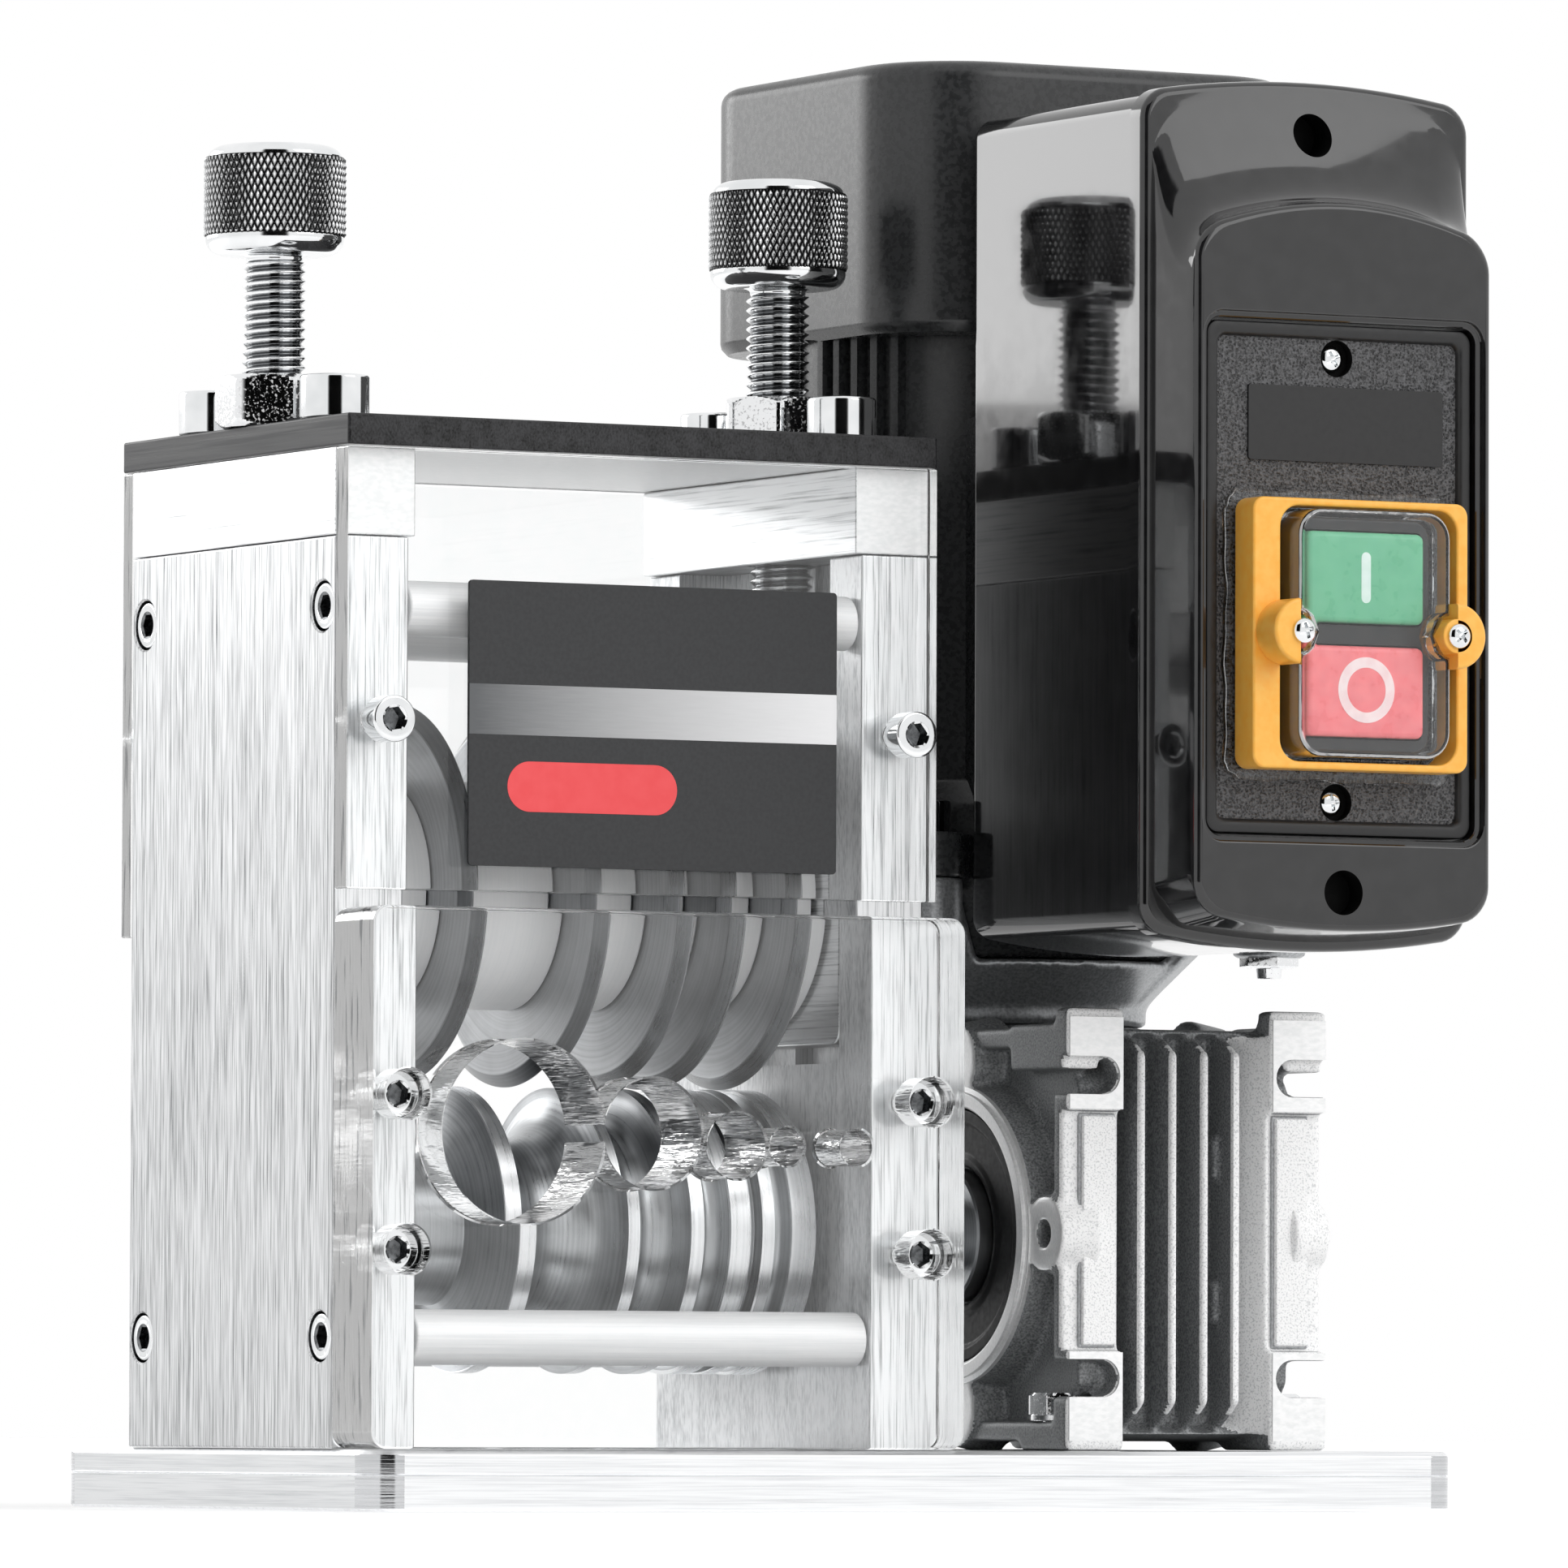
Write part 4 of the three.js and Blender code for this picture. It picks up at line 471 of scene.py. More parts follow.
# frosted sawn acrylic edges; on the switch gasket's bead and the hood's front edge the same whitish finish is a
# painted highlight
edgeClear = speckled("edgeClear", (500, 900, 70), "b4b6b8", "ffffff", 0.04, 0.1, 0.16, 0.4, glass, 2.0,
                     (0.32, 0.44))
boreClear = speckled("boreClear", (1500, 110, 1500), "707274", "ffffff", 0.02, 0.06, 0.22, 0.6, glass, 2.0,
                     (0.3, 0.42))
hoodClear = speckled("hoodClear", 300, "f7fafb", "ffffff", 0.01, 0.03, 0.002, 0.0, glass)
gasketClear = speckled("gasketClear", 900, "e9eef1", "ffffff", 0.02, 0.08, 0.06, 0.0, {**glass, "IOR": 1.42})
motorPaint = speckled("motorPaint", 900, "2a2b2c", "38393a", 0.24, 0.32, 0.002)
glossBlack = speckled("glossBlack", 260, "161617", "1e1e1f", 0.06, 0.11, 0.001, 0.0, {"Coat Weight": 0.6})
# the grain's relief is real; the light speckles in its colour are painted glints off the bumps
grainGlintBlack = speckled("grainGlintBlack", 2300, "1e1e1f", "5e5e60", 0.2, 0.42, 0.5, 0.0, None, 1.0)
mattBlack = speckled("mattBlack", 700, "171718", "202021", 0.35, 0.5, 0.003)
# painted shade: near-black for the inside of holes and screw cups
holeShade = speckled("holeShade", 900, "050505", "0b0b0b", 0.6, 0.8, 0.002, 0.0, {"Specular IOR Level": 0.1})
rubber = speckled("rubber", 900, "111112", "1b1b1c", 0.4, 0.55, 0.01, 0.0, {"Specular IOR Level": 0.3})
filmBlack = speckled("filmBlack", 1400, "232426", "2d2e30", 0.4, 0.5, 0.002)
signRed = speckled("signRed", 300, "f0474b", "f34f53", 0.4, 0.46, 0)
orange = speckled("orange", 500, "ffb645", "ffc055", 0.28, 0.36, 0.002)
green = speckled("green", 400, "5fb68a", "66bb91", 0.26, 0.36, 0.002)
red = speckled("red", 400, "f2757b", "f78287", 0.26, 0.36, 0.002)
mintMark = speckled("mintMark", 400, "d3ebe1", "e2f3ec", 0.35, 0.45, 0)
roseMark = speckled("roseMark", 400, "f5d6d7", "fae5e5", 0.35, 0.45, 0)
silverBand = bandFinish("silverBand", -89.8, 75.8, "5e6062", "f0f0f1")
print("finishes made")

# Base plate: outline rows from the underside up, with a fine groove under the top edge

base = {"corner": 6.6, "chamfer": 0.9, "foot": 0.5, "groove": 6.5, "grooveDepth": 0.3, "grooveHalf": 0.25}


def basePlate():
    low, high = spanOf("base_plate")
    size, middle = (high - low)[:2], (high + low)[:2] / 2
    mark, deep, half = base["groove"], base["grooveDepth"], base["grooveHalf"]
    top = high[2] - base["chamfer"]
    rows = [(base["foot"], 0), (0, base["foot"]), (0, mark - half), (deep, mark), (0, mark + half),
            (0, top - 0.15), (0.08, top + 0.1), (base["chamfer"] - 0.15, high[2] - 0.05),
            (base["chamfer"] + 0.1, high[2])]
    return skin("basePlate", [
        standing(roundedLoop(size[0] - 2 * i, size[1] - 2 * i, base["corner"] - i, middle, 12), z, "z")
        for i, z in rows], sharp=30)


made = present(basePlate(), lengthGrain, "base_plate")
faced(made, endGrain, lambda c, n: np.abs(n[:, 0]) > 0.99)
faced(made, cornerGrain, lambda c, n: (
    np.abs(n[:, 0]) > 0.05) & (np.abs(n[:, 1]) > 0.05) & (np.abs(n[:, 2]) < 0.5))

# Cutting frame: side plates, end blocks, top plate and tie rods

cage = {"rodY": (-42.35, 29.45), "rodZ": (31.2, 162.5), "headRadius": 4.25, "sink": 5.6, "thumbX": (-105.8, -0.7),
        "slotHalf": 29, "slotFloor": 82, "slotTop": 182, "slotDepth": 10, "slotCorner": 3.5,
        "channel": 6.9, "channelZ": (82.5, 180), "bore": 8.75, "threadHole": 6.4}


def counterbore(axis, face, inward, centre, radius, depth, rim=0.35):
    # a drill with a small chamfer where it meets the face
    at = lambda d: face + inward * d
    stations = [(0, at(-2)), (radius + rim + 2, at(-2)), (radius + rim, at(0)), (radius, at(rim)),
                (radius, at(depth)), (0, at(depth))]
    return turned("tool", axis, stations, centre, 64)


def sidePlate(name, node, side):
    low, high = spanOf(node)
    outer, inner = (low[0], high[0]) if side < 0 else (high[0], low[0])
    wall = inner + side * cage["slotDepth"]
    middle = (axisY, (cage["slotFloor"] + cage["slotTop"]) / 2)
    tall = cage["slotTop"] - cage["slotFloor"]
    slot = slab("tool", "x", min(wall, inner - side), max(wall, inner - side),
                lambda i: roundedLoop(2 * cage["slotHalf"], tall, cage["slotCorner"], middle), 0)
    thumb = cage["thumbX"][0 if side < 0 else 1]
    tools = [slot, pipe("z", *cage["channelZ"], cage["channel"], (thumb, axisY))]
    tools += [counterbore("x", outer, -side, (y, z), cage["headRadius"] + 0.35, cage["sink"])
              for y in cage["rodY"] for z in cage["rodZ"]]
    boreEnd = wall if side < 0 else outer + side
    tools.append(pipe("x", inner - side, boreEnd, cage["bore"], rollerAxis[1:], 64))
    return carved(plate(name, node, "x", 0.35, 0.45), tools)


def nearRods(c, radius):
    return np.min([radial(c, "x", (y, z)) for y in cage["rodY"] for z in cage["rodZ"]], axis=0) < radius


for side, hand in ((-1, "left"), (1, "right")):
    node = hand + "_side_plate"
    made = present(sidePlate(hand + "SidePlate", node, side), uprightGrain, node)
    # painted light: the plates' front faces take the lighter copy of their grain
    faced(made, frontLitGrain, lambda c, n: n[:, 1] < -0.9)
    faced(made, innerGrain, lambda c, n: n[:, 0] * side < -0.9)
    # painted shade: the counterbore walls round the rod heads are darkened
    faced(made, socketShade, lambda c, n: nearRods(c, 5.2) & (np.abs(n[:, 0]) < 0.5))


def drilledBlock(name, node, axis, corner, edge, places, radius):
    low, high = spanOf(node)
    tools = [pipe("z", low[2] - 1, high[2] + 1, radius, place) for place in places]
    return carved(plate(name, node, axis, corner, edge), tools)


for side, hand in enumerate(("left", "right")):
    node = hand + "_end_block"
    hole = [(cage["thumbX"][side], axisY)]
    piece = drilledBlock(hand + "EndBlock", node, "y", 0.35, 0.35, hole, cage["threadHole"])
    made = present(piece, depthGrain, node)
    faced(made, machined, lambda c, n: np.abs(n[:, 1]) > 0.9)
holes = [(x, axisY) for x in cage["thumbX"]]
piece = drilledBlock("topPlate", "top_plate", "z", 0.5, 0.4, holes, cage["threadHole"])
made = present(piece, anodised, "top_plate")
faced(made, machined, lambda c, n: n[:, 2] < -0.9)


rod = {"radius": 5, "head": 4.25, "headWidth": 5, "rim": 2.6, "neck": 2.4, "neckEnd": 14.1, "socket": 4,
       "socketDepth": 3.0}


def tieRod(node):
    # a rod between shoulders, with a socket screw head at both ends
    low, high = spanOf(node)
    centre = ((low + high) / 2)[1:]
    rim, head, wide, neck = rod["rim"], rod["head"], rod["headWidth"], rod["neck"]
    start, radius, depth, flats = rod["neckEnd"], rod["radius"], rod["socketDepth"], rod["socket"]
    end = lambda d: [(0, d(depth + 0.4)), (math.inf, d(depth), flats), (math.inf, d(0.3), flats),
                     (rim, d(0), math.inf)]
    shoulder = lambda d: softened([(rim, d(0)), (head, d(0)), (head, d(wide)), (neck, d(wide)), (neck, d(start)),
                                   (radius, d(start)), (radius, d(start + 1.9))], 0.5)
    left, right = lambda d: low[0] + d, lambda d: high[0] - d
    stations = end(left) + shoulder(left) + (end(right) + shoulder(right))[::-1]
    return turned(node.title().replace("_", ""), "x", stations, centre, 48)


rodGrain = brushed("rodGrain", (40, 2600, 2600), (9, 300, 300), "ecedee", "fdfdfd", 0.2, 0.42, 0.52)
for level in ("front_top", "front_bottom", "rear_top", "rear_bottom"):
    node = level + "_tie_rod"
    made = present(tieRod(node), rodGrain, node)
    low, high = spanOf(node)
    away = lambda c: np.minimum(np.abs(c[:, 0] - low[0]), np.abs(c[:, 0] - high[0]))
    faced(made, polished, lambda c, n: away(c) < 6)
    # painted shade: the sockets in the rod ends are darkened
    faced(made, socketShade, lambda c, n: (away(c) > 0.02) & (away(c) < 4) & nearRods(c, 2.5))
print("cutting frame made")

# Screws

panelHead = {"radius": 4.25, "height": 5, "shank": 2.4, "socket": 4, "depth": 3, "edge": 0.45}
topHead = {"radius": 6.4, "height": 8.2, "shank": 3.7, "socket": 6, "depth": 4.6, "edge": 0.7}


def socketScrew(name, node, axis, headHigh, size, turn=0.3):
    # from the shank's tip over the rounded head and down the hexagon socket
    low, high = spanOf(node)
    k = "xyz".index(axis)
    centre = np.delete((low + high) / 2, k)
    at = (lambda d: high[k] - d) if headHigh else (lambda d: low[k] + d)
    length = high[k] - low[k]
    radius, height, shank, flats, depth = (size[key] for key in ("radius", "height", "shank", "socket", "depth"))
    rim = flats * 0.62
    outer = softened([(0, at(length)), (shank, at(length)), (shank, at(height)), (radius, at(height)),
                      (radius, at(0)), (rim, at(0))], size["edge"])
    socket = [(rim, at(0.05)), (rim, at(0.35), flats), (rim, at(depth), flats), (0, at(depth + 0.6))]
    made = coated(turned(name, axis, outer + socket, centre, 72, turn=turn), polished)
    sunk = lambda c: np.abs(c[:, k] - at(0))
    # painted shade: the socket's walls and floor are darkened
    return faced(made, socketShade, lambda c, n: (
        radial(c, axis, centre) < rim) & (sunk(c) > 0.2) & (sunk(c) < depth + 1))


for hand in ("left", "right"):
    node = "front_guard_screw_" + hand
    present(socketScrew("guardScrew" + hand.title(), node, "y", False, panelHead, 0.15), None, node)
    for level in ("low", "high"):
        node = f"feed_block_screw_{hand}_{level}"
        name = "feedScrew" + hand.title() + level.title()
        present(socketScrew(name, node, "y", False, panelHead, 0.5 if level == "low" else 0.35), None, node)
    for end in ("front", "rear"):
        node = f"top_screw_{hand}_{end}"
        present(socketScrew("topScrew" + hand.title() + end.title(), node, "z", True, topHead), None, node)

# Clear guards, feed block and label

guardHoles = {"x": (-107, 0.5), "z": 141.8, "radius": 2.7, "sheet": 4, "rim": 2.5}
feed = {"x": (-83.5, -57.2, -40, -29.6, -15.2), "z": (68, 68, 66, 66, 66), "radius": (16.5, 10, 6, 3.5, 3.35),
        "corner": 3, "edge": 0.5, "sink": 9, "screwX": (-107, 0.5), "screwZ": (46.7, 74.5), "headRadius": 4.55}


def through(axis, low, high, centre, radius, rim, sides=96):
    # a hole's tool, flared a little at both faces
    stations = [(0, low - 2), (radius + rim + 2, low - 2), (radius + rim, low), (radius, low + rim),
                (radius, high - rim), (radius + rim, high), (radius + rim + 2, high + 2), (0, high + 2)]
    return turned("tool", axis, stations, centre, sides)


def frontGuard():
    low, high = spanOf("upper_front_guard")
    tools = [through("y", low[1], high[1], (x, guardHoles["z"]), guardHoles["radius"], 0.15, 48)
             for x in guardHoles["x"]]
    return carved(plate("frontGuard", "upper_front_guard", "y", 0.4, 0.3), tools)


def rearGuard():
    # the sheet with its two screws, whose heads are at the back
    low, high, middle, wide, tall = frontOf("rear_guard")
    tip, end = low[1], high[1]
    face = end - panelHead["height"]
    outline = lambda i: roundedLoop(wide - 2 * i, tall - 2 * i, 0.4 - i, middle)
    sheet = coated(slab("sheet", "y", face - guardHoles["sheet"], face, outline, 0.3), clear)
    shank, head, flats, rim = panelHead["shank"], panelHead["radius"], panelHead["socket"], guardHoles["rim"]
    screws, holes = [], []
    for x in guardHoles["x"]:
        outer = softened([(0, tip), (shank, tip), (shank, face + 0.02), (head, face + 0.02), (head, end),
                          (rim, end)], panelHead["edge"])
        socket = [(rim, end - 0.3, flats), (rim, end - 3, flats), (0, end - 3.5)]
        screws.append(coated(turned("screw", "y", outer + socket, (x, guardHoles["z"]), 60), polished))
        holes.append(through("y", face - guardHoles["sheet"], face, (x, guardHoles["z"]), 2.6, 0.1, 48))
    sheet = faced(carved(sheet, holes), edgeClear, lambda c, n: np.abs(n[:, 1]) < 0.4)
    return together("rearGuard", [sheet] + screws)


def feedBlock():
    low, high = spanOf("feed_block")
    tools = [through("y", low[1], high[1], (x, z), r, 0.35)
             for x, z, r in zip(feed["x"], feed["z"], feed["radius"])]
    for x in feed["screwX"]:
        for z in feed["screwZ"]:
            tools.append(through("y", low[1], high[1], (x, z), 2.7, 0.1, 48))
            tools.append(counterbore("y", low[1], 1, (x, z), feed["headRadius"], feed["sink"], 0.25))
    return carved(plate("feedBlock", "feed_block", "y", feed["corner"], feed["edge"], 8), tools)


def rims(piece, deep):
    # outer edges are sawn and eased, and the bores keep the drill's streaks
    low, high = np.array(piece.bound_box)[[0, 6]] / metre
    outer = lambda c: np.any((c[:, [0, 2]] < low[[0, 2]] + deep) | (c[:, [0, 2]] > high[[0, 2]] - deep), axis=1)
    faced(piece, edgeClear, lambda c, n: (np.abs(n[:, 1]) < 0.4) & outer(c))
    return faced(piece, boreClear, lambda c, n: (np.abs(n[:, 1]) < 0.4) & ~outer(c))


seeThrough = [rims(present(frontGuard(), clear, "upper_front_guard"), 0.2),
              rims(present(feedBlock(), clear, "feed_block"), 2.9), present(rearGuard(), None, "rear_guard")]

label = {"bandZ": (139.7, 148.8), "pillX": (-82, -47.2), "pillZ": (125.9, 135), "proud": 0.06}


def labelPlate():
    # black film with a silver band from edge to edge and a plain red sign
    low, high, middle, wide, tall = frontOf("label_plate")
    (bandLow, bandHigh), (pillLow, pillHigh), (pillLeft, pillRight) = label["bandZ"], label["pillZ"], label["pillX"]
    bandTall, pillWide, pillTall = bandHigh - bandLow, pillRight - pillLeft, pillHigh - pillLow
    sheet = slab("sheet", "y", low[1] + label["proud"], high[1],
                 lambda i: roundedLoop(wide - 2 * i, tall - 2 * i, 0.8 - i, middle), 0.08, 2)
    strip = slab("strip", "y", low[1], high[1] - 0.2, lambda i: roundedLoop(
        wide - 0.1 - 2 * i, bandTall - 2 * i, 0.1, (middle[0], sum(label["bandZ"]) / 2)), 0.03, 1)
    pillMiddle = (sum(label["pillX"]) / 2, sum(label["pillZ"]) / 2)
    pill = slab("pill", "y", low[1], high[1] - 0.2, lambda i: roundedLoop(
        pillWide - 2 * i, pillTall - 2 * i, pillTall / 2 - i, pillMiddle, 12), 0.03, 1)
    return together("labelPlate", [coated(sheet, filmBlack), coated(strip, silverBand), coated(pill, signRed)])


present(labelPlate(), None, "label_plate")
print("guards, feed block and label made")

# Thumb screws with knurled knobs, and their nuts

knob = {"radius": 13.1, "knurl": 14.6, "rim": 3.2, "cap": 2.2, "capRadius": 11.4, "teeth": 66, "pitch": 2.5,
        "height": 0.5, "rimRadius": 11.0, "neck": 5.2, "neckHeight": 1.6, "thread": 5.9, "threadPitch": 1.75,
        "threadDepth": 0.95, "runOut": 0.4, "tip": 1.5, "taper": 0.9}


def triangle(t):
    # 0 at whole numbers and 1 half way between them
    return 1 - np.abs(2 * (t % 1) - 1)


def knurlBand(low, high, centre):
    # r = inner + height * min(tri(n a + z / p), tri(n a - z / p)): two crossing sets of V grooves
    inner, outer = knob["radius"] - knob["height"], knob["radius"]
    a = np.linspace(0, 2 * math.pi, knob["teeth"] * 6 + 1)[:-1]
    z = np.linspace(low, high, 8 * round((high - low) / knob["pitch"]) + 1)[:, None]
    turns = knob["teeth"] * a / (2 * math.pi)
    relief = np.minimum(triangle(turns + z / knob["pitch"]), triangle(turns - z / knob["pitch"]))
    fade = np.clip(np.minimum(z - low, high - z) / knob["runOut"], 0, 1)
    band = skin("knurl", wrapped(outer - knob["height"] * (1 - relief * fade), a, z, centre), sharp=60)
    # painted shade in the knurl's grooves and painted highlight on its crests
    return coated(graded(band, centre, inner, outer), knurlShadedSteel)


def threadedStem(low, high, centre):
    # r = outer - depth * tri(z / pitch - a / 2 pi), with flattened crests and roots, tapered at the tip
    a = np.linspace(0, 2 * math.pi, 49)[:-1]
    z = np.linspace(low, high, round((high - low) / knob["threadPitch"] * 10) + 1)[:, None]
    wave = np.clip(triangle(z / knob["threadPitch"] - a / (2 * math.pi)) * 1.25 - 0.1, 0, 1)
    tip = np.clip((z - low) / knob["tip"], 0, 1)
    radius = knob["thread"] - knob["taper"] * (1 - tip) - knob["threadDepth"] * wave * tip
    stem = skin("stem", wrapped(radius, a, z, centre), sharp=80)
    # painted shade in the thread's roots and painted highlight on its crests
    return coated(graded(stem, centre, knob["thread"] - knob["threadDepth"], knob["thread"]), threadShadedSteel)


def thumbScrew(name, node):
    low, high = spanOf(node)
    centre = ((low + high) / 2)[:2]
    top = high[2]
    bandTop = top - knob["cap"]
    bandLow = bandTop - knob["knurl"]
    foot = bandLow - knob["rim"]
    stop = foot - knob["neckHeight"]
    r, neck = knob["radius"], knob["neck"]
    cap = [(0, bandTop - 1), (r - 1.0, bandTop - 1), (r - 0.9, bandTop + 0.9), (knob["capRadius"] - 1.2, top),
           (0, top)]
    rim = [(0, bandLow + 1), (r - 0.5, bandLow + 1), (r - 0.4, bandLow - 1.3), (knob["rimRadius"], foot),
           (neck, foot), (neck, stop), (0, stop)]
    parts = [coated(turned("cover", "z", softened(line, 1.6, 8), centre), polished) for line in (cap, rim)]
    parts += [knurlBand(bandLow, bandTop, centre), threadedStem(low[2], stop + 0.1, centre)]
    return together(name, parts)


nut = {"flats": 19, "chamfer": 1.3, "corner": 10.75, "bore": 6.15, "flare": 0.9,
       "turns": {"left": -34.9, "right": -26.8}}


def thumbNut(name, node, hand):
    # a hexagon prism cut by a cone at both ends, so each flat ends in an arc
    low, high = spanOf(node)
    centre = ((low + high) / 2)[:2]
    bottom, top = low[2], high[2]
    share = np.linspace(0, 1, 6)
    flat = nut["flats"] / 2
    reach = flat - 0.2 + (nut["corner"] - flat + 0.2) * share
    rise = nut["chamfer"] * share ** 1.15
    up = [(r, bottom + h, nut["flats"]) for r, h in zip(reach, rise)]
    down = [(r, top - h, nut["flats"]) for r, h in zip(reach[::-1], rise[::-1])]
    bore, flare = nut["bore"], nut["flare"]
    hole = [(bore + flare, top), (bore, top - 0.8), (bore, bottom + 0.8), (bore + flare, bottom)]
    facing = -math.pi / 2 + math.radians(nut["turns"][hand]) + (math.pi / 6 if hand == "left" else 0)
    return turned(name, "z", up + down + hole, centre, 96, True, facing, 20)


for hand in ("left", "right"):
    node = hand + "_thumb_screw"
    present(thumbScrew(hand + "ThumbScrew", node), None, node)
    node = hand + "_thumb_nut"
    present(thumbNut(hand + "ThumbNut", node, hand), speckledSteel, node)
print("thumb screws made")

# Cutter: bearing blocks, shaft, blades, spacers and clamp collar

cutter = {"journal": 7.5, "shaft": 10, "blade": 35, "bevelWidth": 1.9, "bevelDepth": 2.4, "spacer": 21,
          "collar": 25, "lip": 22.5, "lipWidth": 2, "start": -99.5}


def bearingBlock(name, node):
    low, high = spanOf(node)
    tool = through("x", low[0], high[0], cutterAxis[1:], cutter["journal"] + 0.25, 0.5)
    return carved(plate(name, node, "x", 3, 0.5, 6), [tool])


def aroundCutter(name, node, stations, sides=128):
    bore = cutter["shaft"] + 0.1
    low, high = spanOf(node)
    ring = [(bore, low[0])] + softened([(bore, low[0]), *stations(low[0], high[0]), (bore, high[0])], 0.2, 2)
    return turned(name, "x", ring[1:], cutterAxis[1:], sides, True, sharp=25)


def cutterShaft():
    low, high = spanOf("cutter_shaft")
    first = spanOf("blade_1")[0][0] - 0.15
    end = spanOf("clamp_collar")[1][0]
    r, j, s, start = cutter["spacer"], cutter["journal"], cutter["shaft"], cutter["start"]
    stations = softened([(0, low[0]), (j, low[0]), (j, start), (r, start), (r, first), (s, first), (s, end),
                         (j, end), (j, high[0]), (0, high[0])], 0.35)
    return turned("cutterShaft", "x", stations, cutterAxis[1:], 128, sharp=25)


for hand in ("left", "right"):
    node = hand + "_bearing_block"
    present(bearingBlock(hand + "BearingBlock", node), depthGrain, node)
present(cutterShaft(), cutterSteel, "cutter_shaft")
for number in range(1, 6):
    blade = lambda a, b: [(cutter["blade"] - cutter["bevelDepth"], a), (cutter["blade"], a + cutter["bevelWidth"]),
                          (cutter["blade"], b)]
    node = f"blade_{number}"
    made = present(aroundCutter(f"blade{number}", node, blade, 192), bladeSteel, node)
    # painted shade: the blades' bevels and rims take the darker copy of their steel
    faced(made, bevelShadeSteel, lambda c, n: radial(c, "x", cutterAxis[1:]) > cutter["blade"] - 2)
for number in range(1, 5):
    ring = lambda a, b: [(cutter["spacer"] - 0.4, a), (cutter["spacer"], a + 0.4), (cutter["spacer"], b - 0.4),
                         (cutter["spacer"] - 0.4, b)]
    node = f"spacer_{number}"
    present(aroundCutter(f"spacer{number}", node, ring), cutterSteel, node)
collar = lambda a, b: [(cutter["lip"], a), (cutter["lip"], a + cutter["lipWidth"]),
                       (cutter["collar"], a + cutter["lipWidth"]), (cutter["collar"], b)]
present(aroundCutter("clampCollar", "clamp_collar", collar), cutterSteel, "clamp_collar")

# Drive roller: r(x) = land - depth * sin(t) across each groove, with x = middle - cos(t) * width / 2

roller = {"land": 26.3, "lane": (-58.2, -41.0, -30.2, -16.5), "width": (19, 10.6, 5.6, 3.6),
          "depth": (9.5, 6.5, 4, 3), "hub": 10.5, "hubWidth": 5, "floor": 13.9, "wallFrom": -76, "wallTo": -71,
          "relief": -22, "reliefHalf": 1.1, "reliefDepth": 3, "step": 20, "stepWidth": 2.6, "journal": 8.5,
          "journalEnd": 7.65, "shaft": 7, "ends": (-99.5, -7.0)}


def driveRoller():
    low, high = spanOf("drive_roller")
    land, hub, floor, step, journal, shaft = (roller[k] for k in ("land", "hub", "floor", "step", "journal", "shaft"))
    left, right = roller["ends"]
    hubEnd, stepStart, journalEnd = left + roller["hubWidth"], right - roller["stepWidth"], roller["journalEnd"]
    t = np.linspace(0, math.pi, 19)
    grooves = [[(land - d * math.sin(a), x - math.cos(a) * w / 2) for a in t]
               for x, w, d in zip(roller["lane"], roller["width"], roller["depth"])]
    soft = lambda stations: softened(stations, 0.3, 2)
    relief, half, deep = roller["relief"], roller["reliefHalf"], land - roller["reliefDepth"]
    start = soft([(0, low[0]), (journal, low[0]), (journal, left), (hub, left), (hub, hubEnd), (floor, hubEnd),
                  (floor, roller["wallFrom"]), (land, roller["wallTo"]), (land, roller["wallTo"] + 1)])
    middle = [p for groove in grooves[:3] for p in groove]
    notch = soft([(land, relief - half - 1), (land, relief - half), (deep, relief - half), (deep, relief + half),
                  (land, relief + half), (land, relief + half + 0.5)])
    end = soft([(land, grooves[3][-1][1] + 0.5), (land, stepStart), (step, stepStart), (step, right),
                (journal, right), (journal, journalEnd), (shaft, journalEnd), (shaft, high[0]), (0, high[0])])
    return turned("driveRoller", "x", start + middle + notch + grooves[3] + end, rollerAxis[1:], 160, sharp=25)


# painted highlight: the lands on the roller's crests take the lighter copy of its steel
faced(present(driveRoller(), rollerSteel, "drive_roller"), landHighlightSteel,
      lambda c, n: radial(c, "x", rollerAxis[1:]) > roller["land"] - 0.5)
print("cutter and roller made")

# Worm gearbox: a sand-cast body fused from shells, with machined pads, ring and seal

gear = {"x": 67.1, "z": 51.15, "half": 40, "front": axisY - 40, "halfWidth": 28, "core": 22.5, "lid": 17,
        "slope": 12, "pad": 5.2, "padWidth": 12.3, "padTop": 17.25, "padLow": 18.4, "panelX": (10.6, 3.8),
        "panelZ": (-20.6, 21.8), "slot": 3.4, "slotReach": 11, "slotZ": (-26.7, 29.3), "worm": 34.5,
        "wormRadius": 27, "rear": 57, "fins": (-11.6, -4.9, 1.9, 8.6), "fin": 0.75,
        "tabs": ((10.4, 18.6), (-16.3, -8.3)), "well": 10, "pocketLeft": 15.2, "ring": 27.7, "wall": 3.6,
        "ringFace": 30.2, "lug": 32.5, "lugHole": 2.5, "voxel": 0.62, "relax": 3}
gearLimits = (gear["x"], gear["z"], gear["front"], gear["z"] - gear["half"], gear["z"] + gear["half"])


def outlineOf(points, size=1.5):
    # a closed outline with rounded corners
    ring = np.array(points + points[:2], float)
    t = np.linspace(0, 1, 5)[:, None]
    return np.concatenate([easedCorner(*three, size, t) for three in zip(ring, ring[1:], ring[2:])])


def casting(name, shells, voxel, relax):
    # the shells fuse into one skin whose edges relax as a sand casting's do
    body = together(name, shells)
    fuse = body.modifiers.new("fuse", "REMESH")
    fuse.mode = "VOXEL"
    fuse.voxel_size = voxel * metre
    ease = body.modifiers.new("ease", "SMOOTH")
    ease.iterations = relax
    return applied(body, (), 60)


